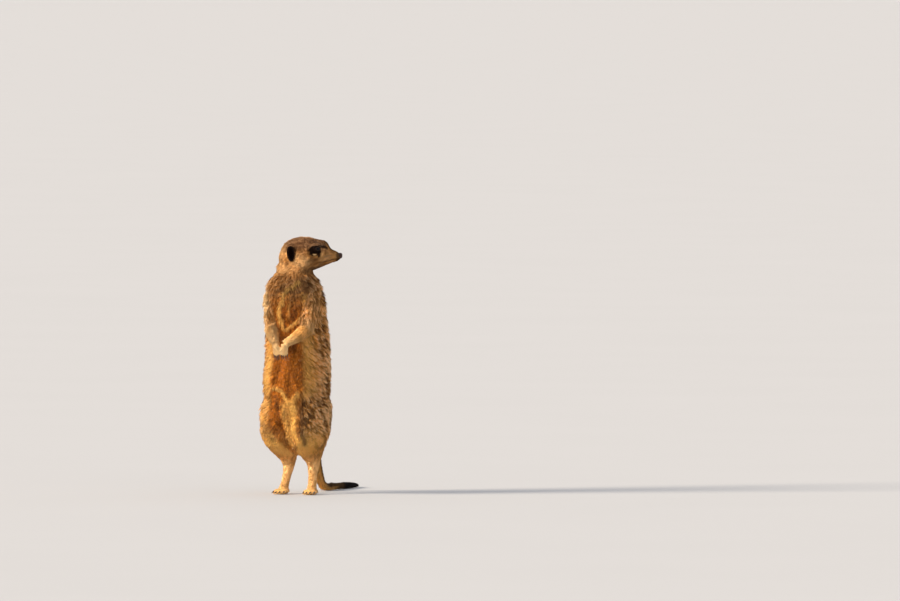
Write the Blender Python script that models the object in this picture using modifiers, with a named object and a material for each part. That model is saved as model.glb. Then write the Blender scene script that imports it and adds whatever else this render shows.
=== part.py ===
"""A meerkat standing upright on its hind toes and its tail, its head turned over the left shoulder.

Metres, +Z up, the floor at z = 0. The body faces -Y and its left side is +X. The solids reach out to the
tips of the coat. The body is one whole, parted with thin cuts into the pieces that a person would name:
head, neck, trunk, arms, legs and tail. Eyes, nose, ears and claws sit in sockets of their own.
"""

import math
from dataclasses import dataclass

import bmesh
import bpy
from mathutils import Matrix, Vector

MM = 0.001

# Driving dimensions of the animal.
HEAD_CENTRE = Vector((9.0, -5.5, 277.0)) * MM
HEAD_YAW = math.radians(15.0)
NECK_BASE_HEIGHT = 239.0 * MM
WAIST_HEIGHT = 166.0 * MM
HIP_HEIGHT = 112.0 * MM
CROTCH_HEIGHT = 44.0 * MM
GROIN_SLANT = math.radians(60)
KNEE_HEIGHT = 64.0 * MM
HOCK_HEIGHT = 36.0 * MM
TOE_OUT = {1.0: 3.2, -1.0: -1.2}
EYE_RADIUS = 4.9 * MM
DIGITS = 4

# Working sizes: the gap between touching pieces, the grain of the fused masses and the triangles kept.
GAP = 0.35 * MM
BODY_VOXEL = 1.1 * MM
ARM_VOXEL = 0.8 * MM
BODY_TRIANGLES = 2250
ARM_TRIANGLES = 340
FAR = 1.0

SIDES = {"left": 1.0, "right": -1.0}


@dataclass(frozen=True)
class Level:
    """A level oval slice of the trunk, the neck or a leg, in millimetres."""

    height: float
    x: float
    y: float
    half_width: float
    half_depth: float


@dataclass(frozen=True)
class Slice:
    """An upright slice across the head, in millimetres from the head's centre."""

    ahead: float
    top: float
    bottom: float
    half_width: float


TRUNK = (
    Level(45, 0, 2, 8, 9),
    Level(53, 0, 3, 18, 18),
    Level(64, 0, 4, 26, 26),
    Level(80, 0, 4, 31, 30),
    Level(100, 0, 1, 36, 34.5),
    Level(125, 0.3, -1, 38.8, 36.5),
    Level(150, 0.3, 1, 38, 35),
    Level(172, 0.5, 2, 37, 33),
    Level(190, 0, 0, 36.3, 32),
    Level(208, -0.5, -3, 35.6, 31),
    Level(224, 0.2, -6.5, 35.6, 29.5),
    Level(238, 0.3, -9.5, 32.7, 27),
    Level(247, 0.4, -10.5, 27.9, 24),
    Level(254, 0, -10, 21, 20),
)

NECK = (
    Level(228, -1, -8, 24, 24),
    Level(240, 0, -9.5, 28, 25),
    Level(249, 0.9, -9.5, 26.9, 23),
    Level(257, 0.8, -8.5, 22.3, 20),
    Level(266, 0.6, -7.4, 20.8, 18.5),
    Level(274, 5, -6, 16, 15),
)

LEG = (
    Level(122, 17, 3, 16, 20),
    Level(110, 18.5, 0, 19.5, 28),
    Level(96, 20, -2, 20.2, 29.5),
    Level(84, 20.3, -4, 20, 28.5),
    Level(72, 20.2, -5.5, 19.6, 26.5),
    Level(60, 18.8, -4.5, 18.2, 22.5),
    Level(51, 16.6, -0.5, 15.8, 18),
    Level(45, 15.6, 4.5, 13, 14.5),
    Level(39, 15.2, 9.5, 9.6, 10.8),
    Level(33, 15.2, 11.5, 7.2, 8.2),
    Level(26, 15.4, 8.8, 5.9, 6.6),
    Level(18, 15.9, 4.6, 5.3, 5.6),
    Level(11, 16.5, 0.6, 5.5, 5.4),
    Level(5, 17.1, -3.2, 6.2, 5.6),
)

HEAD = (
    Slice(-27, 0, -8, 7),
    Slice(-24.5, 6.5, -13, 13),
    Slice(-20.5, 13, -17, 18),
    Slice(-14.5, 17.3, -19.5, 21.8),
    Slice(-7, 20, -20.5, 24),
    Slice(1, 20.9, -20.5, 24.6),
    Slice(9, 20.4, -19.6, 23.2),
    Slice(16, 18.8, -18, 20.4),
    Slice(22, 17.2, -15.2, 17),
    Slice(26.5, 16, -13, 14.2),
    Slice(29.6, 13.4, -11.8, 12),
    Slice(31.6, 9.2, -11, 10.8),
    Slice(33.8, 6.8, -10.1, 9.6),
    Slice(38, 4.7, -8.8, 7.7),
    Slice(41.5, 3, -7.6, 6.2),
    Slice(43.6, 1.6, -6.4, 4.6),
)

COLOURS = {
    "coat": ((0.46, 0.30, 0.16), 0.9),
    "pale_coat": ((0.72, 0.55, 0.33), 0.9),
    "belly_coat": ((0.38, 0.20, 0.09), 0.9),
    "ear": ((0.025, 0.018, 0.014), 0.8),
    "eye": ((0.012, 0.009, 0.008), 0.15),
    "nose": ((0.06, 0.035, 0.028), 0.5),
    "claw": ((0.07, 0.055, 0.045), 0.4),
    "tail_tip": ((0.03, 0.022, 0.018), 0.9),
}


def clear_scene():
    """Empties the scene, so that only the meerkat is in it."""
    for thing in list(bpy.data.objects):
        bpy.data.objects.remove(thing, do_unlink=True)


def collection(name):
    """A new collection of that name in the scene."""
    made = bpy.data.collections.new(name)
    bpy.context.scene.collection.children.link(made)
    return made


def material(name):
    """The Principled material of one kind of surface."""
    made = bpy.data.materials.get(name)
    if made is None:
        colour, roughness = COLOURS[name]
        made = bpy.data.materials.new(name)
        made.use_nodes = True
        shader = made.node_tree.nodes["Principled BSDF"]
        shader.inputs["Base Color"].default_value = (*colour, 1.0)
        shader.inputs["Roughness"].default_value = roughness
        shader.inputs["Metallic"].default_value = 0.0
        made.diffuse_color = (*colour, 1.0)
    return made


def object_from(name, mesh, parts):
    """A new object showing that mesh, in that collection."""
    made = bpy.data.objects.new(name, mesh)
    parts.objects.link(made)
    return made


def blend_rows(rows, per_span):
    """Rows of numbers, filled in along a smooth curve through all of them."""
    filled = []
    for i in range(len(rows) - 1):
        before, here = rows[max(i - 1, 0)], rows[i]
        there, after = rows[i + 1], rows[min(i + 2, len(rows) - 1)]
        for step in range(per_span):
            t = step / per_span
            row = []
            for a, b, c, d in zip(before, here, there, after):
                bend = 2 * a - 5 * b + 4 * c - d
                twist = -a + 3 * b - 3 * c + d
                row.append(0.5 * (2 * b + (c - a) * t + bend * t**2 + twist * t**3))
            filled.append(row)
    filled.append(list(rows[-1]))
    return filled


def loft(rings, into):
    """Joins rings of points, each with as many as the next, and closes both ends with a fan."""
    made = [[into.verts.new(point) for point in ring] for ring in rings]
    count = len(made[0])
    for ring, following in zip(made, made[1:]):
        for i in range(count):
            j = (i + 1) % count
            into.faces.new((ring[i], ring[j], following[j], following[i]))
    for ring in (made[0], made[-1]):
        middle = into.verts.new(sum((v.co for v in ring), Vector()) / count)
        for i in range(count):
            into.faces.new((ring[i], ring[(i + 1) % count], middle))


def oval(centre, across, up, down, fullness=2.2, count=28):
    """Points round a rounded oval with unlike upper and lower reaches."""
    points = []
    for i in range(count):
        turn = 2 * math.pi * i / count
        c, s = math.cos(turn), math.sin(turn)
        scale = (abs(c) ** fullness + abs(s) ** fullness) ** (-1 / fullness)
        points.append(centre + across * c * scale + (up if s > 0 else down) * s * scale)
    return points


def turn_out(side, height):
    """How far a hind leg stands outwards, in millimetres, growing from the hock to the toes."""
    return TOE_OUT[side] * max(0.0, 1.0 - height / 40.0)


def level_mass(levels, into, side=1.0, outwards=None):
    """A mass lofted through level ovals, mirrored to the right where side is -1."""
    rows = [(v.height, v.x, v.y, v.half_width, v.half_depth) for v in levels]
    rings = []
    for height, x, y, half_width, half_depth in blend_rows(rows, 3):
        extra = outwards(side, height) if outwards else 0.0
        centre = Vector((side * (x + extra), y, height)) * MM
        depth = Vector((0, half_depth * MM, 0))
        rings.append(oval(centre, Vector((half_width * MM, 0, 0)), depth, depth))
    loft(rings, into)


def head_place(ahead, left, up):
    """The world place of a point given in millimetres from the head's centre."""
    turned = Matrix.Rotation(HEAD_YAW, 3, "Z") @ Vector((ahead, left, up))
    return HEAD_CENTRE + turned * MM


def head_direction(ahead, left, up):
    """A unit direction given along the head's own axes."""
    return (Matrix.Rotation(HEAD_YAW, 3, "Z") @ Vector((ahead, left, up))).normalized()


def head_mass(into):
    """The head from the back of the skull to behind the nose pad."""
    rows = [(s.ahead, s.top, s.bottom, s.half_width) for s in HEAD]
    across = head_direction(0, 1, 0)
    rings = []
    for ahead, top, bottom, half_width in blend_rows(rows, 3):
        middle = 0.45 * top + 0.55 * bottom
        up, down = Vector((0, 0, top - middle)) * MM, Vector((0, 0, middle - bottom)) * MM
        rings.append(oval(head_place(ahead, 0, middle), across * half_width * MM, up, down))
    loft(rings, into)


def ellipsoid(centre, radii, into, turn=None, facets=24):
    """A ball stretched to three radii, turned by an optional rotation matrix."""
    shape = Matrix.Diagonal((*radii, 1.0))
    placed = Matrix.Translation(centre) @ (turn.to_4x4() if turn else Matrix()) @ shape
    bmesh.ops.create_uvsphere(into, u_segments=facets, v_segments=facets // 2, radius=1.0, matrix=placed)


def tube_mesh(points, radii, rounding=3, steps=5):
    """A round tube through the points, with its own radius at each, as a closed mesh."""
    line = bpy.data.curves.new("line", "CURVE")
    line.dimensions = "3D"
    line.bevel_depth = 1.0
    line.bevel_resolution = rounding
    line.resolution_u = steps
    line.use_fill_caps = True
    spline = line.splines.new("BEZIER")
    spline.bezier_points.add(len(points) - 1)
    spline.radius_interpolation = "CARDINAL"
    for knot, point, radius in zip(spline.bezier_points, points, radii):
        knot.co = point
        knot.radius = radius
        knot.handle_left_type = knot.handle_right_type = "AUTO"
    guide = bpy.data.objects.new("guide", line)
    bpy.context.scene.collection.objects.link(guide)
    graph = bpy.context.evaluated_depsgraph_get()
    mesh = bpy.data.meshes.new_from_object(guide.evaluated_get(graph))
    bpy.data.objects.remove(guide)
    welded = bmesh.new()
    welded.from_mesh(mesh)
    bmesh.ops.remove_doubles(welded, verts=welded.verts, dist=1e-6)
    bmesh.ops.recalc_face_normals(welded, faces=welded.faces)
    welded.to_mesh(mesh)
    welded.free()
    return mesh


def tube(points, radii, into):
    """Adds a round tube to the masses, in millimetres."""
    placed = [Vector(p) * MM for p in points]
    into.from_mesh(tube_mesh(placed, [r * MM for r in radii]))


def modified(thing):
    """Applies an object's modifiers."""
    graph = bpy.context.evaluated_depsgraph_get()
    mesh = bpy.data.meshes.new_from_object(thing.evaluated_get(graph))
    thing.modifiers.clear()
    thing.data = mesh


def fuse(name, masses, voxel, triangles, parts):
    """Turns overlapping masses into one smooth skin of about that many triangles."""
    bmesh.ops.recalc_face_normals(masses, faces=masses.faces)
    mesh = bpy.data.meshes.new(name)
    masses.to_mesh(mesh)
    masses.free()
    made = object_from(name, mesh, parts)
    remesh = made.modifiers.new("fuse", "REMESH")
    remesh.mode = "VOXEL"
    remesh.voxel_size = voxel
    smooth = made.modifiers.new("smooth", "SMOOTH")
    smooth.factor = 0.5
    smooth.iterations = 7
    modified(made)
    thin = made.modifiers.new("thin", "DECIMATE")
    thin.ratio = triangles / (2 * len(made.data.polygons))
    thin.use_collapse_triangulate = True
    modified(made)
    return made


def largest_body(thing):
    """Keeps an object's largest connected piece, so that no crumb of a cut stays."""
    shape = bmesh.new()
    shape.from_mesh(thing.data)
    groups, seen = [], set()
    for first in shape.verts:
        if first in seen:
            continue
        group, todo = [], [first]
        seen.add(first)
        while todo:
            here = todo.pop()
            group.append(here)
            for edge in here.link_edges:
                other = edge.other_vert(here)
                if other not in seen:
                    seen.add(other)
                    todo.append(other)
        groups.append(group)
    groups.sort(key=len, reverse=True)
    for group in groups[1:]:
        bmesh.ops.delete(shape, geom=group, context="VERTS")
    shape.to_mesh(thing.data)
    shape.free()


def carve(thing, cutter, operation="DIFFERENCE"):
    """Cuts a closed object with another, and keeps the largest body."""
    cut = thing.modifiers.new("cut", "BOOLEAN")
    cut.operation = operation
    cut.object = cutter
    modified(thing)
    largest_body(thing)


def copy_of(thing, name, parts):
    """A second object with its own mesh."""
    return object_from(name, thing.data.copy(), parts)


def socket_for(insert, thing, cutters):
    """Cuts a seat for a finished piece into another, a thin gap wider than the piece."""
    grown = copy_of(insert, insert.name + "_seat", cutters)
    shape = bmesh.new()
    shape.from_mesh(grown.data)
    shape.normal_update()
    for point in shape.verts:
        point.co += point.normal * GAP
    shape.to_mesh(grown.data)
    shape.free()
    grown.hide_render = True
    grown.display_type = "WIRE"
    carve(thing, grown)
    bpy.data.objects.remove(grown)


def half_space(place, normal, cutters):
    """A large box that fills the side of a plane that its normal points to."""
    shape = bmesh.new()
    turn = Vector((0, 0, 1)).rotation_difference(normal).to_matrix().to_4x4()
    seat = Matrix.Translation(place) @ turn @ Matrix.Translation((0, 0, FAR / 2))
    bmesh.ops.create_cube(shape, size=FAR, matrix=seat)
    mesh = bpy.data.meshes.new("half_space")
    shape.to_mesh(mesh)
    shape.free()
    box = object_from("half_space", mesh, cutters)
    box.hide_render = True
    box.display_type = "WIRE"
    return box


def part_off(thing, name, place, normal, parts, cutters):
    """Parts a piece off a body along a plane. The piece is on the side that the normal points to."""
    normal = Vector(normal).normalized()
    place = Vector(place)
    piece = copy_of(thing, name, parts)
    for cut, near in ((piece, -1.0), (thing, 1.0)):
        start = place - near * normal * GAP / 2
        box = half_space(start, normal * near, cutters)
        carve(cut, box)
        bpy.data.objects.remove(box)
    return piece


def digit_fan(side, root, reach, spread, splay):
    """Where the digits of one paw start and end, from the inner one to the outer one, in millimetres."""
    fan = []
    for i in range(DIGITS):
        share = i - (DIGITS - 1) / 2
        shorter = 1.0 - 0.07 * share**2
        start = Vector(root) + Vector((side * share * spread, 0.35 * share**2, 0))
        turn = Matrix.Rotation(side * (splay + 4.5 * share) * math.pi / 180, 3, "Z")
        fan.append((start, start + turn @ (Vector(reach) * shorter)))
    return fan


def hind_toes(side):
    """The toes of a hind foot, which point ahead and a little outwards."""
    root = Vector((side * (16.9 + TOE_OUT[side]), -6.0, 3.0))
    return digit_fan(side, root, (0, -11.5, -0.9), 3.4, 3.5 + TOE_OUT[side])


def foot_masses(side, into):
    """The sole and toes, which press a little through the floor and are then cut flat."""
    for start, end in hind_toes(side):
        knuckle = start.lerp(end, 0.5) + Vector((0, 0, 1.2))
        behind = start + Vector((0, 5.0, 1.4))
        tube((behind, start, knuckle, end), (2.6, 2.9, 2.7, 2.3), into)
        ellipsoid(end * MM, (2.3 * MM, 3.1 * MM, 2.6 * MM), into)
    pad = Vector((side * (16.9 + TOE_OUT[side]), -4.5, 3.0)) * MM
    ellipsoid(pad, (6.9 * MM, 6.4 * MM, 3.9 * MM), into)


def body_masses():
    """Trunk, neck, head and hind legs, as overlapping masses."""
    into = bmesh.new()
    turn = Matrix.Rotation(HEAD_YAW, 3, "Z")
    level_mass(TRUNK, into)
    level_mass(NECK, into)
    head_mass(into)
    for side in SIDES.values():
        level_mass(LEG, into, side, turn_out)
        foot_masses(side, into)
        ellipsoid(head_place(19.2, side * 11.2, 10.6), (8.0 * MM, 5.2 * MM, 4.2 * MM), into, turn)
        ellipsoid(head_place(0.0, side * 15.0, -8.0), (15.0 * MM, 10.5 * MM, 11.0 * MM), into, turn)
        ellipsoid(head_place(35.0, side * 4.2, -3.6), (7.6 * MM, 4.6 * MM, 4.6 * MM), into, turn)
    return into


def ball(name, centre, radii, facets, parts, turn=None):
    """A closed ball as an object of its own."""
    shape = bmesh.new()
    ellipsoid(centre, radii, shape, turn, facets)
    mesh = bpy.data.meshes.new(name)
    shape.to_mesh(mesh)
    shape.free()
    return object_from(name, mesh, parts)


def eye(name, side, parts):
    """An eyeball, set in the side of the face and looking ahead and outwards."""
    return ball(name, head_place(18.7, side * 14.3, 6.3), [EYE_RADIUS] * 3, 14, parts)


def nose(parts):
    """The bare pad at the tip of the muzzle."""
    turn = Matrix.Rotation(HEAD_YAW, 3, "Z")
    return ball("nose", head_place(43.7, 0, -1.4), (3.0 * MM, 3.9 * MM, 3.3 * MM), 14, parts, turn)


def ear_centre(side):
    """The middle of an ear."""
    return head_place(-9.3, side * 22.0, 0.8)


def ear_lean():
    """The turn that stands an ear up against the side of the head."""
    return Matrix.Rotation(HEAD_YAW, 3, "Z") @ Matrix.Rotation(math.radians(-12), 3, "Y")


def ear(name, side, parts):
    """A small upright ear, still without its hollow."""
    return ball(name, ear_centre(side), (5.6 * MM, 3.6 * MM, 9.8 * MM), 14, parts, ear_lean())


def hollow_out(whole, side, cutters):
    """Cups an ear towards the side and ahead."""
    centre = ear_centre(side) + head_direction(0.35, side, 0.0) * 2.9 * MM
    inner = ball("hollow", centre, (4.0 * MM, 3.1 * MM, 8.0 * MM), 14, cutters, ear_lean())
    carve(whole, inner)
    bpy.data.objects.remove(inner)


def claw(name, base, tip, drop, radius, parts):
    """A curved claw from inside the digit to its point, in millimetres."""
    middle = base.lerp(tip, 0.55) + Vector(drop)
    points = [p * MM for p in (base, middle, tip)]
    mesh = tube_mesh(points, [r * MM for r in (radius, 0.74 * radius, 0.28 * radius)], 0, 2)
    return object_from(name, mesh, parts)


def arm_joints(side):
    """The shoulder, elbow and wrist of one arm, in millimetres."""
    shoulder = Vector((side * 22.5, -14.0, 225.0))
    elbow = Vector((side * 22.0 + 1.5, -25.0, 193.0))
    wrist = Vector((side * 6.3 - 1.6, -44.5, 175.5))
    return shoulder, elbow, wrist


def fingers(side):
    """The digits of one hand, which hangs from the wrist with its palm to the belly."""
    _, _, wrist = arm_joints(side)
    palm = wrist + Vector((-side * 1.3, -1.0, -7.6))
    across = Matrix.Rotation(side * math.radians(18), 3, "Z") @ Vector((2.05, 0, 0))
    fan = []
    for i in range(DIGITS):
        share = (i - (DIGITS - 1) / 2) * side
        start = palm + across * share + Vector((0, 0, 2.4))
        end = start + Vector((0.15 * share, 0.4, -7.8 + 0.5 * share**2))
        fan.append((start, end))
    return fan


def arm(side, name, parts):
    """One whole arm, from the shoulder to the fingertips."""
    shoulder, elbow, wrist = arm_joints(side)
    into = bmesh.new()
    upper = shoulder.lerp(elbow, 0.5) + Vector((side * 0.4, -0.6, 0))
    fore = elbow.lerp(wrist, 0.45) + Vector((side * 1.0, -1.0, -1.2))
    deltoid = (shoulder + Vector((0, -1.0, -4.0))) * MM
    ellipsoid(deltoid, (12.5 * MM, 13.0 * MM, 21.0 * MM), into)
    tube((shoulder, upper, elbow), (10.5, 10.6, 8.4), into)
    tube((elbow + Vector((0, 3.0, 2.0)), elbow, fore, wrist), (6.5, 8.3, 7.4, 5.2), into)
    palm = (wrist + Vector((-side * 1.0, -0.8, -5.0))) * MM
    ellipsoid(palm, (4.7 * MM, 3.6 * MM, 6.6 * MM), into, Matrix.Rotation(side * 0.3, 3, "Z"))
    for start, end in fingers(side):
        knuckle = start.lerp(end, 0.5) + Vector((0, -0.9, 0))
        tube((start, knuckle, end), (1.7, 1.65, 1.45), into)
        ellipsoid(end * MM, (1.5 * MM, 1.6 * MM, 1.8 * MM), into)
    return fuse(name, into, ARM_VOXEL, ARM_TRIANGLES, parts)


def tail(parts):
    """The tail, which props the animal from behind and lies on the floor along its last half."""
    line = ((0, 22, 94), (0, 35, 76), (1, 47, 49), (2.5, 57, 24), (4.5, 67, 6.4),
            (7, 86, 4.5), (8.8, 112, 4.0), (9, 136, 3.4), (8.2, 154, 2.7), (7.6, 162, 2.0),
            (7.4, 164.5, 1.7))
    radii = (10.2, 10.2, 7.8, 6.3, 5.5, 5.1, 4.6, 4.0, 3.0, 1.8, 0.7)
    placed = [Vector(p) * MM for p in line]
    mesh = tube_mesh(placed, [r * MM for r in radii], 3, 2)
    return object_from("tail_base", mesh, parts)


def dress(things, name):
    """Gives objects their material and smooth shading."""
    for thing in things:
        thing.data.materials.clear()
        thing.data.materials.append(material(name))
        thing.data.shade_smooth()


def build_claws(parts):
    """All sixteen claws, listed by the name of the piece that each of them grows from."""
    made = {}
    for word, side in SIDES.items():
        hand, foot = [], []
        for number, (start, end) in enumerate(fingers(side), 1):
            along = (end - start).normalized()
            tip = end + along * 7.6 + Vector((0, 3.2, 0))
            base = end - along * 1.6
            hand.append(claw(f"fore_claw_{word}_{number}", base, tip, (0, -1.3, 0), 0.82, parts))
        for number, (start, end) in enumerate(hind_toes(side), 1):
            along = Vector((end.x - start.x, end.y - start.y, 0)).normalized()
            tip = Vector((*(end + along * 6.2).xy, 0.85))
            base = end + Vector((0, 0, 0.9)) - along * 1.2
            foot.append(claw(f"hind_claw_{word}_{number}", base, tip, (0, 0, 0.8), 0.95, parts))
        made[f"hand_{word}"] = hand
        made[f"foot_{word}"] = foot
    return made


def part_arm(whole, side, word, parts, cutters):
    """Parts an arm at the elbow and the wrist."""
    shoulder, elbow, wrist = arm_joints(side)
    bend = ((elbow - shoulder).normalized() + (wrist - elbow).normalized()).normalized()
    forearm = part_off(whole, f"forearm_{word}", elbow * MM, bend, parts, cutters)
    hand_way = (wrist - elbow).normalized() + Vector((0, 0, -1.2))
    hand = part_off(forearm, f"hand_{word}", (wrist + Vector((0, 0, -1.0))) * MM, hand_way, parts,
                    cutters)
    return whole, forearm, hand


def leg_region(side, shift, cutters):
    """A prism that holds one leg: outside the groin's slant and on its own side of the middle."""
    slant = Vector((math.cos(GROIN_SLANT), math.sin(GROIN_SLANT))) * FAR
    outline = ((0, -FAR), (0, CROTCH_HEIGHT), (slant.x, CROTCH_HEIGHT + slant.y), (FAR, -FAR))
    tuck = shift * (1 - math.sin(GROIN_SLANT)) / math.cos(GROIN_SLANT)
    shape = bmesh.new()
    loops = []
    for y in (-FAR, FAR):
        loops.append([shape.verts.new((side * (x + shift), y, z - tuck)) for x, z in outline])
    for loop in loops:
        shape.faces.new(loop)
    for i in range(len(outline)):
        j = (i + 1) % len(outline)
        shape.faces.new((loops[0][i], loops[0][j], loops[1][j], loops[1][i]))
    bmesh.ops.recalc_face_normals(shape, faces=shape.faces)
    mesh = bpy.data.meshes.new("leg_region")
    shape.to_mesh(mesh)
    shape.free()
    prism = object_from("leg_region", mesh, cutters)
    prism.hide_render = True
    prism.display_type = "WIRE"
    return prism


def part_leg(body, side, word, parts, cutters):
    """Parts a leg off the hips along the groin, then at the knee and the hock."""
    thigh = copy_of(body, f"thigh_{word}", parts)
    for cut, shift, operation in ((thigh, GAP / 2, "INTERSECT"), (body, -GAP / 2, "DIFFERENCE")):
        region = leg_region(side, shift, cutters)
        carve(cut, region, operation)
        bpy.data.objects.remove(region)
    shank = part_off(thigh, f"shank_{word}", (0, -5 * MM, KNEE_HEIGHT), (0, 0.28, -1), parts, cutters)
    foot = part_off(shank, f"foot_{word}", (0, 7 * MM, HOCK_HEIGHT), (0, -0.25, -1), parts, cutters)
    return thigh, shank, foot


def part_tail(whole, parts, cutters):
    """Parts the tail into its root, its middle and its tip."""
    middle = part_off(whole, "tail_middle", Vector((3, 54, 40)) * MM, (0.1, 0.42, -0.9), parts, cutters)
    tip = part_off(middle, "tail_tip", Vector((8, 112, 4)) * MM, (0, 1, 0), parts, cutters)
    return whole, middle, tip


def cut_flat(things, cutters):
    """Cuts away what is below the floor, which leaves small flats to stand on."""
    for thing in things:
        below = half_space(Vector(), Vector((0, 0, -1)), cutters)
        carve(thing, below)
        bpy.data.objects.remove(below)


def centre_on_floor(parts):
    """Moves the meerkat so that the origin is under the middle of its box, on the floor."""
    corners = [v.co for thing in parts.objects for v in thing.data.vertices]
    middle = [(min(c[i] for c in corners) + max(c[i] for c in corners)) / 2 for i in range(2)]
    shift = Matrix.Translation((-middle[0], -middle[1], 0))
    for thing in parts.objects:
        thing.data.transform(shift)


def main():
    """Builds the meerkat."""
    clear_scene()
    parts, cutters = collection("meerkat"), collection("cutters")

    body = fuse("pelvis", body_masses(), BODY_VOXEL, BODY_TRIANGLES, parts)
    arms = {word: arm(side, f"upper_arm_{word}", parts) for word, side in SIDES.items()}
    whole_tail = tail(parts)
    eyes = [eye(f"eye_{word}", side, parts) for word, side in SIDES.items()]
    ears = [ear(f"ear_{word}", side, parts) for word, side in SIDES.items()]
    pad = nose(parts)
    claws = build_claws(parts)

    cut_flat([body, whole_tail], cutters)
    for insert in (*arms.values(), whole_tail):
        socket_for(insert, body, cutters)
    head = part_off(body, "head", head_place(-6, 0, -19.3), (-0.04, 0, 1), parts, cutters)
    for insert in (*eyes, *ears, pad):
        socket_for(insert, head, cutters)
    neck = part_off(body, "neck", (0, 0, NECK_BASE_HEIGHT), (0, 0, 1), parts, cutters)
    for insert, side in zip(ears, SIDES.values()):
        hollow_out(insert, side, cutters)
    chest = part_off(body, "chest", (0, 0, WAIST_HEIGHT), (0, 0, 1), parts, cutters)
    abdomen = part_off(body, "abdomen", (0, 0, HIP_HEIGHT), (0, 0, 1), parts, cutters)
    root, middle, tip = part_tail(whole_tail, parts, cutters)
    dress([head, neck, chest, body, root, middle], "coat")
    dress([abdomen], "belly_coat")
    for word, side in SIDES.items():
        thigh, shank, foot = part_leg(body, side, word, parts, cutters)
        upper, forearm, hand = part_arm(arms[word], side, word, parts, cutters)
        for piece in (hand, foot):
            for insert in claws[piece.name]:
                socket_for(insert, piece, cutters)
            dress(claws[piece.name], "claw")
        dress([thigh, upper], "coat")
        dress([shank, foot, forearm, hand], "pale_coat")
    dress(eyes, "eye")
    dress(ears, "ear")
    dress([pad], "nose")
    dress([tip], "tail_tip")
    centre_on_floor(parts)


main()
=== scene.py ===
"""The looks of a still, life-size meerkat: one skin, a coat of tufts, eyes, nose pad, claws and whiskers.

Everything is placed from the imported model: the head's axes come from its eyes, the trunk's from its box, and
the lie of the coat from the nodes' own places. Lengths in the tables are in millimetres.
"""

import logging
import math
from dataclasses import dataclass, field
from enum import Enum
from typing import ClassVar

import bmesh
import bpy
import numpy as np
from mathutils import Matrix, Vector
from mathutils.bvhtree import BVHTree
from mathutils.kdtree import KDTree


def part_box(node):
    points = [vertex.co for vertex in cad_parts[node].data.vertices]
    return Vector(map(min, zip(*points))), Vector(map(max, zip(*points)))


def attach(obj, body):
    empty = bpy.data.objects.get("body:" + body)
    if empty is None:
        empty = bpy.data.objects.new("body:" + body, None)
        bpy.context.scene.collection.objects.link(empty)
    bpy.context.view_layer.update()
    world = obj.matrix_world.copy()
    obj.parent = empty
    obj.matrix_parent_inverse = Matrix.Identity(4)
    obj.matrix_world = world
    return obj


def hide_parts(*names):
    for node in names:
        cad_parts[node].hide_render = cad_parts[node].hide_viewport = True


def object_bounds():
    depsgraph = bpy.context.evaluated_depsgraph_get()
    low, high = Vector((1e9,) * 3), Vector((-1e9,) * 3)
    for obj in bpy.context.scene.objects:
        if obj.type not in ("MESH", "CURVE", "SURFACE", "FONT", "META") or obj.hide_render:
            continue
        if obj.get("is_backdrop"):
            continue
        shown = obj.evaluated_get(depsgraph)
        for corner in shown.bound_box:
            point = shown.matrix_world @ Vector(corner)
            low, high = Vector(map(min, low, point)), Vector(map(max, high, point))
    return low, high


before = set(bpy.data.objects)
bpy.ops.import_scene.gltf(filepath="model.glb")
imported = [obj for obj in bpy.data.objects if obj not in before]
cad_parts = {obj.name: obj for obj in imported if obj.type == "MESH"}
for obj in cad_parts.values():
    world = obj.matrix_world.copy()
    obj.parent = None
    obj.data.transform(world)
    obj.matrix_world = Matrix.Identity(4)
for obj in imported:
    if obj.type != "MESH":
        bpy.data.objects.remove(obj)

Array = np.ndarray
Colour = tuple[float, float, float]

MM = 0.001
UP = np.array((0.0, 0.0, 1.0))
SIDES = {"left": 1.0, "right": -1.0}
SEED = 4711
LOG = logging.getLogger("meerkat")


# ---- Small helpers ----


def middle(node: str) -> Array:
    """The middle of a CAD node's box, in metres."""
    low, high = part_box(node)
    return np.array((low + high) / 2)


def unit(vectors: Array) -> Array:
    """Vectors scaled to length one, along the last axis."""
    length = np.linalg.norm(vectors, axis=-1, keepdims=True)
    return vectors / np.maximum(length, 1e-12)


def ease(values: Array, low: float, high: float) -> Array:
    """A smooth step from 0 at low to 1 at high. Low may be the larger of the two."""
    share = np.clip((values - low) / (high - low), 0.0, 1.0)
    return share * share * (3.0 - 2.0 * share)


def blend(first: Array, second: Array, share: Array) -> Array:
    """A mix of two arrays, row by row."""
    if np.ndim(first) > 1 or np.ndim(second) > 1:
        share = np.asarray(share)[:, None]
    return first * (1.0 - share) + second * share


def dot(first: Array, second: Array) -> Array:
    """The dot products of rows."""
    return (first * second).sum(-1)


def flattened(vectors: Array, normals: Array) -> Array:
    """Vectors laid into the planes that the normals stand on, with length one."""
    return unit(vectors - dot(vectors, normals)[:, None] * normals)


def ranked(values: Array) -> Array:
    """The values' ranks, from 0 for the least to 1 for the greatest."""
    return np.argsort(np.argsort(values)) / max(len(values) - 1, 1)


def object_from(name: str, mesh: bpy.types.Mesh) -> bpy.types.Object:
    """A new object showing that mesh."""
    made = bpy.data.objects.new(name, mesh)
    bpy.context.scene.collection.objects.link(made)
    return made


def object_of(name: str, shape: bmesh.types.BMesh) -> bpy.types.Object:
    """A smooth-shaded object from a bmesh, which is freed."""
    mesh = bpy.data.meshes.new(name)
    shape.to_mesh(mesh)
    shape.free()
    mesh.shade_smooth()
    return object_from(name, mesh)


def points_of(mesh: bpy.types.Mesh) -> Array:
    """The places of a mesh's vertices."""
    flat = np.empty(len(mesh.vertices) * 3, np.float32)
    mesh.vertices.foreach_get("co", flat)
    return flat.reshape(-1, 3).astype(float)


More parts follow.
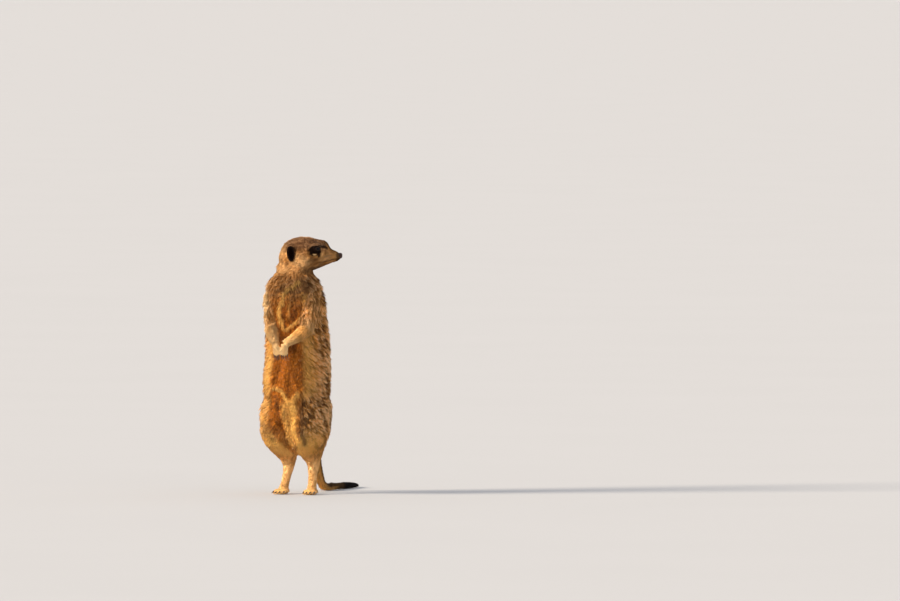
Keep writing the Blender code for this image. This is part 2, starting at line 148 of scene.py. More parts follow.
def normals_of(mesh: bpy.types.Mesh) -> Array:
    """The directions in which a mesh's vertices face."""
    flat = np.empty(len(mesh.vertices) * 3, np.float32)
    mesh.vertex_normals.foreach_get("vector", flat)
    return flat.reshape(-1, 3).astype(float)


def triangles_of(mesh: bpy.types.Mesh) -> Array:
    """The corners of a mesh's triangles."""
    mesh.calc_loop_triangles()
    flat = np.empty(len(mesh.loop_triangles) * 3, np.int32)
    mesh.loop_triangles.foreach_get("vertices", flat)
    return flat.reshape(-1, 3)


def place_points(mesh: bpy.types.Mesh, points: Array) -> None:
    """Moves a mesh's vertices."""
    mesh.vertices.foreach_set("co", points.astype(np.float32).ravel())
    mesh.update()


def give(mesh: bpy.types.Mesh, name: str, values: Array) -> None:
    """Stores a number or a vector at each vertex, for the materials to read."""
    kind, slot = ("FLOAT", "value") if values.ndim == 1 else ("FLOAT_VECTOR", "vector")
    attribute = mesh.attributes.new(name, kind, "POINT")
    attribute.data.foreach_set(slot, values.astype(np.float32).ravel())


def add_ring(shape: bmesh.types.BMesh, place: Array, spokes: list[Array]) -> list[bmesh.types.BMVert]:
    """Adds a ring of vertices, each at the end of a spoke from one place."""
    return [shape.verts.new(Vector(place + spoke)) for spoke in spokes]


def join_rings(shape: bmesh.types.BMesh, rings: list[list[bmesh.types.BMVert]]) -> None:
    """Joins rings of vertices into a tube and closes both ends."""
    for ring, following in zip(rings, rings[1:]):
        for j in range(len(ring)):
            k = (j + 1) % len(ring)
            shape.faces.new((ring[j], ring[k], following[k], following[j]))
    for ring in (rings[0], rings[-1]):
        shape.faces.new(ring)


class Web:
    """The edges of a mesh, along which values are evened out."""

    STRAY: ClassVar[float] = 0.01
    SHARPNESS: ClassVar[int] = 6
    COMB_WEIGHT: ClassVar[float] = 0.7
    PUSH_BACK: ClassVar[float] = -1.04

    def __init__(self, mesh: bpy.types.Mesh) -> None:
        """Reads the edges.

        Args:
            mesh: the mesh whose vertices hold the values.
        """
        ends = np.empty(len(mesh.edges) * 2, np.int32)
        mesh.edges.foreach_get("vertices", ends)
        self.first, self.second = ends.reshape(-1, 2).T
        self.count = len(mesh.vertices)
        self.degree = np.maximum(self._gather(np.ones(len(self.first)), np.ones(len(self.first))), 1)

    def _gather(self, to_first: Array, to_second: Array) -> Array:
        """Sums what each edge brings to its two ends."""
        at_first = np.bincount(self.first, to_first, self.count)
        return at_first + np.bincount(self.second, to_second, self.count)

    def mean(self, values: Array) -> Array:
        """The mean of each vertex's neighbours."""
        if values.ndim == 1:
            return self._gather(values[self.second], values[self.first]) / self.degree
        return np.stack([self.mean(column) for column in values.T], 1)

    def relax(self, values: Array, rounds: int, weight: float | Array = 0.5) -> Array:
        """Evens values out.

        Args:
            values: a number or a vector for each vertex.
            rounds: how many times each value moves towards its neighbours' mean.
            weight: how far it moves each time, for all vertices or for each.

        Returns:
            The evened values.
        """
        if np.ndim(weight) == 1 and values.ndim == 2:
            weight = weight[:, None]
        for _ in range(rounds):
            values = values + (self.mean(values) - values) * weight
        return values

    def comb(self, values: Array, points: Array, lie: Array, rounds: int) -> Array:
        """Evens numbers out along the lie of the coat and hardly across it.

        Args:
            values: a number for each vertex.
            points: the vertices' places.
            lie: the coat's direction at each vertex.
            rounds: how many times each value moves towards its neighbours' mean.

        Returns:
            The combed values, as streaks.
        """
        way = unit(points[self.second] - points[self.first])
        at_first, at_second = dot(way, lie[self.first]), dot(way, lie[self.second])
        weight = self.STRAY + np.maximum(at_first**self.SHARPNESS, at_second**self.SHARPNESS)
        total = self._gather(weight, weight)
        for _ in range(rounds):
            mean = self._gather(weight * values[self.second], weight * values[self.first]) / total
            values = values + (mean - values) * self.COMB_WEIGHT
        return values

    def smooth(self, values: Array, rounds: int, weight: float | Array = 0.5) -> Array:
        """Evens places out without shrinking the form, by a push back after each round."""
        for _ in range(rounds):
            values = self.relax(values, 1, weight)
            values = self.relax(values, 1, self.PUSH_BACK * np.asarray(weight))
        return values


# ---- Frames of the head and the trunk ----


@dataclass(frozen=True)
class HeadFrame:
    """The head's own axes and centre, found from the two eyes, which lie at a known place in it."""

    centre: Array
    ahead: Array
    left: Array

    EYE_AHEAD: ClassVar[float] = 18.7
    EYE_SIDE: ClassVar[float] = 14.3
    EYE_UP: ClassVar[float] = 6.3

    @classmethod
    def from_eyes(cls) -> "HeadFrame":
        """Finds the head's axes from the places of the eyes."""
        left_eye, right_eye = middle("eye_left"), middle("eye_right")
        left = unit(left_eye - right_eye)
        ahead = np.cross(left, UP)
        centre = (left_eye + right_eye) / 2 - (ahead * cls.EYE_AHEAD + UP * cls.EYE_UP) * MM
        return cls(centre, ahead, left)

    def local(self, points: Array) -> Array:
        """Places as millimetres ahead, left and up of the head's centre."""
        away = (points - self.centre) / MM
        return np.stack([away @ self.ahead, away @ self.left, away @ UP], -1)

    def place(self, ahead: float, left: float, up: float) -> Array:
        """The world place of a point given in the head's millimetres."""
        return self.centre + (self.ahead * ahead + self.left * left + UP * up) * MM

    def direction(self, ahead: float, left: float, up: float) -> Array:
        """A unit direction given along the head's axes."""
        return unit(self.ahead * ahead + self.left * left + UP * up)


@dataclass(frozen=True)
class TrunkFrame:
    """The upright axis of the trunk."""

    centre: Array

    @classmethod
    def from_nodes(cls) -> "TrunkFrame":
        """Finds the axis from the boxes of chest and abdomen."""
        return cls((middle("chest") + middle("abdomen")) / 2)

    def round_angle(self, points: Array) -> Array:
        """Degrees round the trunk from the middle of the belly: 90 on the left flank, -90 on the right."""
        away = points - self.centre
        return np.degrees(np.arctan2(away[..., 0], -away[..., 1]))

    def to_back(self, points: Array) -> Array:
        """Level directions round the trunk that lead from the belly to the back."""
        turn = np.radians(self.round_angle(points))
        side = np.sign(turn)
        return np.stack([side * np.cos(turn), side * np.sin(turn), 0 * turn], -1)


HEAD = HeadFrame.from_eyes()
TRUNK = TrunkFrame.from_nodes()
EYE_RADIUS = float(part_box("eye_left")[1].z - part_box("eye_left")[0].z) / 2


# ---- What the coat is like in each region ----


class Region(Enum):
    """The parts of the body that differ in their coat."""

    HEAD = "head"
    EAR = "ear"
    NECK = "neck"
    CHEST = "chest"
    ABDOMEN = "abdomen"
    PELVIS = "pelvis"
    THIGH = "thigh"
    SHANK = "shank"
    FOOT = "foot"
    UPPER_ARM = "upper_arm"
    FOREARM = "forearm"
    HAND = "hand"
    TAIL_BASE = "tail_base"
    TAIL_MIDDLE = "tail_middle"
    TAIL_TIP = "tail_tip"


@dataclass(frozen=True)
class FurStyle:
    """The coat of one region: depth, tuft length and width in millimetres, lift in degrees, tufts per mm2."""

    depth: float
    length: float
    width: float
    lift: float
    density: float

    def row(self) -> tuple[float, ...]:
        """The numbers as one row."""
        return self.depth, self.length, self.width, self.lift, self.density

    def laid(self, styles: Array, share: Array) -> Array:
        """Rows of style numbers with this style laid over them, where the share is 1 in full."""
        return blend(styles, np.array([self.row()]), share)


STYLES = {
    Region.HEAD: FurStyle(1.3, 3.4, 0.34, 14, 2.4),
    Region.EAR: FurStyle(0.25, 1.3, 0.20, 14, 2.6),
    Region.NECK: FurStyle(3.0, 7.8, 0.50, 28, 1.6),
    Region.CHEST: FurStyle(4.0, 9.0, 0.56, 31, 1.3),
    Region.ABDOMEN: FurStyle(4.4, 9.6, 0.58, 34, 1.3),
    Region.PELVIS: FurStyle(4.2, 9.4, 0.58, 34, 1.3),
    Region.THIGH: FurStyle(3.4, 8.4, 0.54, 30, 1.4),
    Region.SHANK: FurStyle(1.7, 4.8, 0.36, 19, 2.0),
    Region.FOOT: FurStyle(0.6, 2.2, 0.24, 12, 2.8),
    Region.UPPER_ARM: FurStyle(2.5, 6.4, 0.46, 23, 1.7),
    Region.FOREARM: FurStyle(1.5, 4.6, 0.34, 19, 2.2),
    Region.HAND: FurStyle(0.4, 1.9, 0.22, 11, 3.2),
    Region.TAIL_BASE: FurStyle(2.1, 5.6, 0.46, 17, 1.7),
    Region.TAIL_MIDDLE: FurStyle(1.3, 4.6, 0.34, 12, 2.0),
    Region.TAIL_TIP: FurStyle(1.1, 4.6, 0.34, 12, 2.2),
}

BELLY_STYLE = FurStyle(2.4, 5.4, 0.42, 16, 1.7)
LINE_STYLE = FurStyle(1.8, 4.6, 0.38, 9, 2.2)
MUZZLE_STYLE = FurStyle(0.45, 1.6, 0.17, 13, 5.0)
LID_STYLE = FurStyle(0.35, 0.8, 0.14, 8, 4.0)

LIMBS = (Region.THIGH, Region.SHANK, Region.FOOT, Region.UPPER_ARM, Region.FOREARM, Region.HAND)


def nodes_of(region: Region) -> list[str]:
    """The CAD nodes of a region."""
    if region in (Region.EAR, *LIMBS):
        return [f"{region.value}_{side}" for side in SIDES]
    return [region.value]


FLESH = [node for region in Region for node in nodes_of(region)]
REGION_OF = {node: number for number, region in enumerate(Region) for node in nodes_of(region)}
TRUNK_REGIONS = (Region.NECK, Region.CHEST, Region.ABDOMEN, Region.PELVIS)


class Labels:
    """Which flesh node, and so which region, lies nearest to a place."""

    def __init__(self) -> None:
        """Joins the flesh nodes' surfaces into one search tree."""
        points, corners, owners = [], [], []
        start = 0
        for number, name in enumerate(FLESH):
            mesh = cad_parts[name].data
            own = triangles_of(mesh)
            points.append(points_of(mesh))
            corners.append(own + start)
            owners.append(np.full(len(own), number))
            start += len(mesh.vertices)
        self.owners = np.concatenate(owners)
        self.tree = BVHTree.FromPolygons(np.concatenate(points).tolist(), np.concatenate(corners).tolist())
        self.regions = np.array([REGION_OF[name] for name in FLESH])

    def nodes(self, points: Array) -> Array:
        """The number in FLESH of the node nearest to each place."""
        found = [self.tree.find_nearest(Vector(point))[2] for point in points]
        return self.owners[np.array(found)]

    def regions_at(self, points: Array) -> Array:
        """The number of the region nearest to each place."""
        return self.regions[self.nodes(points)]


def is_in(regions: Array, *wanted: Region) -> Array:
    """True where a region number is one of those wanted."""
    numbers = [number for number, region in enumerate(Region) if region in wanted]
    return np.isin(regions, numbers)


def share_in(regions: Array, *wanted: Region) -> Array:
    """1 where a region number is one of those wanted, and 0 elsewhere."""
    return is_in(regions, *wanted).astype(float)


# ---- Markings and the lie of the coat ----


@dataclass(frozen=True)
class Crease:
    """A raised or sunken line of the trunk, with how golden its coat is and how much painted shade darkens it.

    Its path is given as millimetres round the trunk and height.
    """

    path: tuple[tuple[float, float], ...]
    width: float
    rise: float
    gold: float = 0.0
    # How strongly the coat of a sunken crease is darkened, as painted shade.
    shade: float = 0.0

    ROUND_RADIUS: ClassVar[float] = 36.0
    FOOT: ClassVar[float] = 1.5
    TOP: ClassVar[float] = 0.4

    def mask(self, points: Array) -> Array:
        """1 on the line and 0 away from it."""
        arc = np.radians(TRUNK.round_angle(points)) * self.ROUND_RADIUS
        seat = np.stack([arc, points[:, 2] / MM], 1)
        near = np.full(len(points), np.inf)
        for start, end in zip(self.path, self.path[1:]):
            start, step = np.array(start), np.array(end) - np.array(start)
            share = np.clip((seat - start) @ step / (step @ step), 0, 1)
            near = np.minimum(near, np.linalg.norm(seat - start - share[:, None] * step, axis=1))
        return ease(near, self.FOOT * self.width, self.TOP * self.width)


# Sunken creases with a shade share get painted shade in their coat: the dark border of the left thigh, two
# patches on the right thigh, furrows of the chest and folds under the left forearm.
CREASES = (
    Crease(((9.0, 76.0), (8.9, 100.0), (8.5, 108.0)), 4.8, 0.5, 0.95),
    Crease(((33.0, 24.0), (27.0, 40.0), (18.8, 55.0), (12.5, 70.0), (11.0, 82.0)), 2.3, 0.7, 1.0),
    Crease(((-2.0, 104.0), (-1.0, 84.0), (4.0, 64.0)), 7.0, 0.0, 0.60),
    Crease(((17.0, 60.0), (14.0, 76.0), (13.0, 100.0), (12.5, 108.0)), 8.5, 2.0),
    Crease(((-7.0, 92.0), (-1.0, 68.0), (8.0, 52.0)), 6.0, 1.6),
    Crease(((25.0, 56.0), (20.5, 74.0), (20.0, 104.0), (20.5, 112.0)), 2.7, -1.6, shade=0.85),
    Crease(((-14.8, 126.0), (-4.8, 121.7), (-0.8, 115.5), (3.0, 108.4)), 2.1, 0.6, 0.95),
    Crease(((3.0, 108.4), (9.0, 112.0), (14.6, 119.0)), 2.6, 0.4, 0.6),
    Crease(((-14.0, 112.0), (-11.0, 104.0)), 4.4, -0.4, shade=0.45),
    Crease(((-25.0, 84.0), (-23.0, 66.0)), 4.4, -0.3, shade=0.40),
    Crease(((15.9, 247.0), (10.1, 243.0), (2.3, 239.0), (-1.9, 234.0), (-4.8, 223.0)), 1.5, 0.7, 0.6),
    Crease(((-4.8, 223.0), (-9.6, 216.6), (-10.7, 208.3), (-7.6, 200.0), (-4.8, 192.7)), 2.0, 0.9, 0.8),
    Crease(((24.3, 209.0), (20.9, 206.7), (12.6, 200.0), (4.2, 194.3), (-0.1, 191.8)), 1.5, 1.0, 0.95),
    Crease(((22.0, 234.0), (24.6, 222.0), (25.0, 212.0)), 2.4, 0.5, 0.40),
    Crease(((7.0, 227.0), (3.5, 216.0), (3.0, 206.0)), 1.1, 0.4, 0.40),
    Crease(((9.0, 233.0), (12.0, 218.0), (8.0, 202.0)), 5.5, -0.9, shade=0.35),
    Crease(((-4.0, 217.0), (-4.0, 203.0)), 3.0, -0.8, shade=0.30),
    Crease(((23.0, 197.0), (12.0, 193.0)), 2.6, -0.8, shade=0.55),
    Crease(((21.0, 186.0), (7.6, 172.0)), 3.0, -0.6, shade=0.60),
    Crease(((31.0, 236.0), (34.0, 212.0)), 5.0, -0.4, shade=0.40),
)


def golden_lines(points: Array) -> Array:
    """How golden the trunk's lines are at each place."""
    return np.maximum.reduce([crease.mask(points) * crease.gold for crease in CREASES])


def shaded_lines(points: Array) -> Array:
    """How much painted shade the trunk's sunken creases get at each place."""
    return np.maximum.reduce([crease.mask(points) * crease.shade for crease in CREASES])


@dataclass(frozen=True)
class HeadLine:
    """A line along the side of the head, in the head's millimetres."""

    ahead: tuple[float, ...]
    up: tuple[float, ...]

    def height(self, ahead: Array) -> Array:
        """The line's height at places along the head."""
        return np.interp(ahead, self.ahead, self.up)


@dataclass(frozen=True)
class Spot:
    """An oval place on the side of the head: its middle ahead and up, and its half sizes."""

    middle: tuple[float, float]
    size: tuple[float, float]

    def reach(self, ahead: Array, up: Array) -> Array:
        """How far places lie from the middle, with 1 on the rim."""
        return np.hypot((ahead - self.middle[0]) / self.size[0], (up - self.middle[1]) / self.size[1])


LIP = HeadLine((16.5, 20.4, 26.0, 32.0, 38.0, 41.5), (-9.2, -8.9, -8.4, -7.0, -5.4, -4.7))
# BROW and JAW are the lines of painted shade along the brow ridge and under the jaw.
BROW = HeadLine((20.0, 27.0, 31.5), (9.8, 9.0, 6.4))
JAW = HeadLine((-5.0, 6.0, 22.0), (-21.5, -19.0, -13.5))
TEAR = Spot((21.8, -0.2), (1.9, 3.2))
SMUDGE = Spot((17.0, -6.4), (5.0, 4.6))
BEFORE_EAR = Spot((-5.2, 0.8), (2.6, 8.6))
CHEEK = Spot((2.0, -7.0), (14.0, 10.0))


GUARD = {"flank": 0.55, "back": 0.40, "upper_arm": 0.15, "shoulder": 0.42, "tail": 0.8, "shank": 0.75}
# The two rim entries are painted rim light on the arms' outer edges, not coat colour.
PALE = {"hand": 1.0, "foot": 0.38, "shank": 0.06, "ankle": 0.36, "neck": 0.22, "painted_rim_light": 0.9, "painted_far_rim_light": 0.1}
GOLD = {"left": 0.5, "right": 0.68, "right_thigh": 0.38, "leg": 0.22, "shin": 0.68, "arm": 0.35, "tail": 0.3}
# Of these, the marks along the brows, on the forehead and under the jaw are painted shade; the mark on the
# muzzle's top is its brown darkened further by painted shade.
FACE_DARK = {
    "tear": 0.95,
    "brow": 0.85,
    "smudge": 0.42,
    "lip": 0.8,
    "chin": 0.35,
    "tip": 0.85,
    "muzzle_top_and_shade": 0.7,
    "brow_top": 0.35,
    "jaw_shadow": 0.55,
}
FACE_PALE = {"cheek": 0.30, "throat": 0.20, "muzzle": 0.20, "back": 0.25, "under_eye": 0.6}


@dataclass(frozen=True)
class Markings:
    """Where the coat is belly brown, golden, pale, dark, grizzled or banded, as shares from 0 to 1; some of
    these shares are painted light and shade.
    """

    belly_half_angle: float = 35.0
    # Low on the trunk the belly is narrower on the left, away from the key, and wider on the right, towards
    # it: partly the coat, partly painted shade and light.
    belly_narrower: float = 8.0
    belly_wider: float = 3.0
    groin_height: float = 116.0
    band_pitch: float = 15.0
    throat_brown: float = 0.30
    neck_brown: float = 0.36
    eye_patch: tuple[float, float] = (7.0, 6.1)
    patch_fullness: float = 2.6
    # The right forearm, which faces the key, starts paler than the left: its pale coat plus painted light.
    forearm_pale_and_lit: dict[str, float] = field(default_factory=lambda: {"left": 0.12, "right": 0.55})

    def masks(self, points: Array, regions: Array, web: Web) -> dict[str, Array]:
        """All markings.

        Args:
            points: the skin's places.
            regions: the region number at each place.
            web: the skin's edges, along which the region borders are softened.

        Returns:
            A share from 0 to 1 at each place, by name.
        """
        turn = TRUNK.round_angle(points)
        angle = np.abs(turn)
        height = points[:, 2] / MM
        trunk = share_in(regions, *TRUNK_REGIONS)
        thigh = share_in(regions, Region.THIGH)
        low = ease(height, self.groin_height + 14, self.groin_height - 8)
        half = self.belly_half_angle + low * np.where(turn > 0, -self.belly_narrower, self.belly_wider)
        front = ease(angle, half + 6, half - 6)
        belly = (trunk + thigh) * front * ease(height, 238, 216) * ease(height, 58, 84)
        guard = GUARD["flank"] * ease(angle, half - 2, half + 12)
        guard = guard + GUARD["back"] * ease(angle, half + 22, half + 44)
        # The left thigh, away from the key, is grizzled from nearer the belly than the right: partly its coat,
        # partly painted shade.
        shaded_side_thigh_guard = low * ease(angle, half, half + 9)
        guard = (trunk + thigh) * np.where(turn > 0, np.maximum(guard, shaded_side_thigh_guard), guard)
        # The left shank's outer side, away from the key, gets grizzled coat and less pale: partly its coat,
        # partly painted shade.
        outer = share_in(regions, Region.SHANK) * ease(turn, 44, 62) * ease(height, 38, 66)
        shoulder = GUARD["shoulder"] * ease(height, 192, 214)
        guard = guard + is_in(regions, Region.UPPER_ARM) * (GUARD["upper_arm"] + shoulder)
        guard = guard + is_in(regions, Region.TAIL_BASE) * GUARD["tail"] + GUARD["shank"] * outer
        pale = self.limb_pale(points, regions) - 0.5 * outer
        fade = ease(height, 44, 84) * (trunk + thigh)
        guard = guard * np.where(thigh > 0, fade, 1.0)
        belly, guard, pale = web.relax(np.stack([belly * fade, guard, pale], 1), 8).T
        head = self.head_masks(points, regions, web)
        pale = np.clip(pale + head["pale"], 0, 1)
        # The dark mask holds black marks and painted shade, of the head and of the tail.
        dark = np.clip(head["dark"] + self.tail_black_and_shade(points, regions, web), 0, 1)
        wave = height + 2.2 * np.sin(angle / 21.0) + 1.3 * np.sin(height / 9.0 + angle / 13.0)
        bands = 0.5 + 0.5 * np.sin(2 * math.pi * wave / self.band_pitch)
        band = trunk * ease(angle, 100, 132) * ease(bands, 0.45, 0.8) * ease(height, 236, 214)
        gold = self.gold(points, regions, web, half)
        neck = is_in(regions, Region.NECK, Region.CHEST) * ease(height, 216, 240)
        brown = self.throat_brown * (neck * ease(angle, 80, 40)) + self.neck_brown * neck
        return {
            "belly": belly * (1 - 0.8 * gold),
            "guard": np.clip(guard, 0, 1) * (1 - 0.9 * gold),
            "pale": pale,
            "dark": dark,
            # The band mask holds the back's dark bands and the creases' painted shade.
            "band": web.relax(np.maximum(band, (trunk + thigh) * shaded_lines(points)), 2),
            "crown": np.clip(head["crown"] + web.relax(brown, 8), 0, 1),
            "gold": gold,
            "line": web.relax((trunk + thigh) * golden_lines(points), 2),
        }

    def limb_pale(self, points: Array, regions: Array) -> Array:
        """How pale hands, feet, lower limbs and the ruff of the neck are, with painted rim light along the
        arms' outer edges.
        """
        height = points[:, 2] / MM
        turn = TRUNK.round_angle(points)
        angle = np.abs(turn)
        pale = is_in(regions, Region.HAND) * PALE["hand"] + is_in(regions, Region.FOOT) * PALE["foot"]
        pale = pale + is_in(regions, Region.SHANK) * (PALE["shank"] + PALE["ankle"] * ease(height, 64, 26))
        for side in SIDES:
            wrist, elbow = middle(f"hand_{side}"), middle(f"upper_arm_{side}")
            way = wrist - elbow
            share = np.clip((points - elbow) @ way / (way @ way), 0, 1)
            own = (points[:, 0] - TRUNK.centre[0]) * SIDES[side] > 0
            # Each forearm's paleness on its elbow half; on the right it is raised as painted light.
            lit = self.forearm_pale_and_lit[side]
            pale = pale + is_in(regions, Region.FOREARM) * own * (lit + (1 - lit) * ease(share, 0.5, 1.0))
        # Painted rim light: the arms' outer edges are painted pale, strongly on the right side, which faces
        # the key, and faintly on the left.
        outwards = np.abs(points[:, 0] - TRUNK.centre[0]) / MM
        rim = np.where(turn < 0, PALE["painted_rim_light"], PALE["painted_far_rim_light"])
        rim = rim * ease(outwards, 21, 30) * ease(angle, 110, 80)
        arm = np.maximum(0.12 + 0.60 * ease(height, 214, 184), rim)
        pale = pale + is_in(regions, Region.UPPER_ARM) * arm + is_in(regions, Region.FOREARM) * 1.3 * rim
        return pale + is_in(regions, Region.NECK) * PALE["neck"] * ease(angle, 80, 135)

    def tail_black_and_shade(self, points: Array, regions: Array, web: Web) -> Array:
        """The tail's black end, which reaches back over the far end of its middle part; painted shade on the
        middle part's upper side, which stays golden below; and painted shadow of the leg on the base.
        """
        height = points[:, 2] / MM
        part = is_in(regions, Region.TAIL_MIDDLE, Region.TAIL_BASE)
        level = points[:, 1:] @ (0.7071, 0.7071) / MM
        reach = points[:, 1:] @ (0.7071, -0.7071) / MM
        bins = np.arange(reach[part].min() - 2, reach[part].max() + 4, 4.0)
        place = np.clip(np.digitize(reach, bins) - 1, 0, len(bins) - 1)
        tally = np.maximum(np.bincount(place[part], minlength=len(bins)), 1)
        core = np.bincount(place[part], level[part], len(bins)) / tally
        # The upper side of the tail is painted dark, as painted shade.
        above = ease(level - np.interp(reach, bins + 2.0, core), -2.2, 0.6)
        late = ease(points[:, 1] / MM, 22, 40)
        middle_black_and_shade = is_in(regions, Region.TAIL_MIDDLE) * np.maximum(above, late)
        # Painted shadow of the leg on the lower tail base, deeper on its upper side.
        base = is_in(regions, Region.TAIL_BASE) * ease(height, 74, 50) * (0.34 + 0.60 * above)
        tip = share_in(regions, Region.TAIL_TIP)
        return web.relax(np.maximum.reduce([tip, 0.9 * middle_black_and_shade, base]), 5)

    def gold(self, points: Array, regions: Array, web: Web, half: Array) -> Array:
        """The golden border of the belly, the lines of the groin and the ridge down the front of each leg."""
        turn = TRUNK.round_angle(points)
        angle = np.abs(turn)
        height = points[:, 2] / MM
        body = share_in(regions, *TRUNK_REGIONS, Region.THIGH)
        leg = share_in(regions, Region.THIGH, Region.SHANK, Region.FOOT)
        ring = body * ease(angle, half - 5, half + 3) * ease(angle, half + 26, half + 8)
        ring = ring * ease(height, 232, 200)
        above = ease(height, self.groin_height - 6, self.groin_height + 8)
        upper = above * np.where(turn > 0, GOLD["left"], GOLD["right"])
        ring = ring * (upper + (1 - above) * np.where(turn > 0, 0.0, GOLD["right_thigh"]))
        lower_leg = leg * ease(height, 94, 54) * (GOLD["leg"] + GOLD["shin"] * ease(angle, 84, 40))
        shank = is_in(regions, Region.SHANK, Region.FOOT)
        arm = GOLD["arm"] * is_in(regions, Region.FOREARM)
        tail = GOLD["tail"] * is_in(regions, Region.TAIL_BASE, Region.TAIL_MIDDLE)
        lines = (body + shank) * golden_lines(points)
        return web.relax(np.maximum.reduce([ring, lines, lower_leg, arm, tail]), 2)

    def head_masks(self, points: Array, regions: Array, web: Web) -> dict[str, Array]:
        """The head's dark eye patches, ears and lips, its pale cheeks and its brown crown, with painted shade
        under the jaw, along the brows, on the forehead and on the muzzle's top.
        """
        at = HEAD.local(points)
        ahead, side, up = at[:, 0], np.abs(at[:, 1]), at[:, 2]
        head = share_in(regions, Region.HEAD)
        lip_height = LIP.height(ahead)
        long, tall = self.eye_patch
        along_patch = (ahead - HEAD.EYE_AHEAD + 1.7) * 0.97 + (up - HEAD.EYE_UP) * 0.2
        over_patch = (up - HEAD.EYE_UP + 1.2) * 0.97 - (ahead - HEAD.EYE_AHEAD) * 0.2
        full = self.patch_fullness
        reach = ((np.abs(along_patch) / long) ** full + (np.abs(over_patch) / tall) ** full) ** (1 / full)
        patch = ease(reach, 1.10, 0.82) * ease(side, 7.0, 10.5)
        crescent = np.hypot((ahead - 17.1) / 2.4, (up - 0.1 - 0.12 * (ahead - 17.1) ** 2) / 1.0)
        patch = patch * (1 - 0.8 * ease(crescent, 1.3, 0.55))
        tear = FACE_DARK["tear"] * ease(TEAR.reach(ahead, up), 1.2, 0.6) * ease(side, 5.0, 8.0)
        patch = np.maximum(patch, tear)
        # Painted shade of the brow ridge, from the eye forward to the stop.
        brow = ease(np.abs(up - BROW.height(ahead)), 2.3, 0.9)
        brow = brow * ease(ahead, 19.0, 21.5) * ease(ahead, 32.5, 30.0) * ease(side, 2.0, 4.0)
        brow = brow * FACE_DARK["brow"]
        smudge = ease(SMUDGE.reach(ahead, up), 1.2, 0.4) * ease(side, 5.0, 9.0) * FACE_DARK["smudge"]
        lip = ease(np.abs(up - lip_height), 1.0, 0.2) * ease(ahead, 17.0, 22.0) * FACE_DARK["lip"]
        chin = ease(up, lip_height - 1.0, lip_height - 3.0) * ease(ahead, 16.0, 24.0) * FACE_DARK["chin"]
        tip = ease(ahead, 38.5, 42.0) * FACE_DARK["tip"]
        # The muzzle's top: its own brown, darkened further as painted shade of its far side.
        muzzle_top_and_shade = ease(ahead, 24.0, 31.0) * ease(up, 2.0, 3.8) * ease(side, 5.5, 2.6) * FACE_DARK["muzzle_top_and_shade"]
        # Painted shade on the forehead above the brows.
        brow_top = ease(ahead, 6.0, 20.0) * ease(up, 9.0, 12.5) * ease(ahead, 33.0, 28.0)
        brow_top = brow_top * FACE_DARK["brow_top"]
        # Painted shadow under the jaw, between head and throat.
        jaw_shadow = ease(np.abs(up - JAW.height(ahead)), 2.6, 0.8)
        jaw_shadow = jaw_shadow * ease(ahead, -10.0, -4.0) * ease(ahead, 26.0, 20.0) * FACE_DARK["jaw_shadow"]
        face = np.maximum.reduce([patch, brow, smudge, lip, chin, tip, muzzle_top_and_shade, brow_top, jaw_shadow]) * head
        ear = web.relax(share_in(regions, Region.EAR), 1)
        before_ear = head * ease(BEFORE_EAR.reach(ahead, up), 1.1, 0.7) * ease(side, 12.0, 15.0)
        dark = np.maximum.reduce([face, ear, before_ear])
        cheek = ease(CHEEK.reach(ahead, up), 1.2, 0.4) * FACE_PALE["cheek"]
        throat = ease(up, -9.0, -15.0) * FACE_PALE["throat"]
        muzzle = ease(ahead, 20.0, 25.0) * ease(up, 2.5, 0.5)
        muzzle = muzzle * ease(up, lip_height - 0.5, lip_height + 1.5)
        back = ease(ahead, -12.0, -22.0) * FACE_PALE["back"]
        under_eye = FACE_PALE["under_eye"] * ease(crescent, 1.3, 0.5) * ease(side, 7.0, 10.5)
        pale = np.maximum.reduce([cheek, throat, FACE_PALE["muzzle"] * muzzle, back])
        crown = 0.42 + 0.58 * ease(up, -2.0, 10.0) * ease(ahead, 36.0, 24.0)
        crown = crown * (0.6 + 0.4 * ease(ahead, -23.0, -12.0)) * (1 - 0.8 * muzzle)
        return {
            "dark": web.relax(dark, 1),
            "pale": np.maximum(web.relax(head * pale, 6), head * under_eye),
            "crown": web.relax(head * crown, 6),
        }


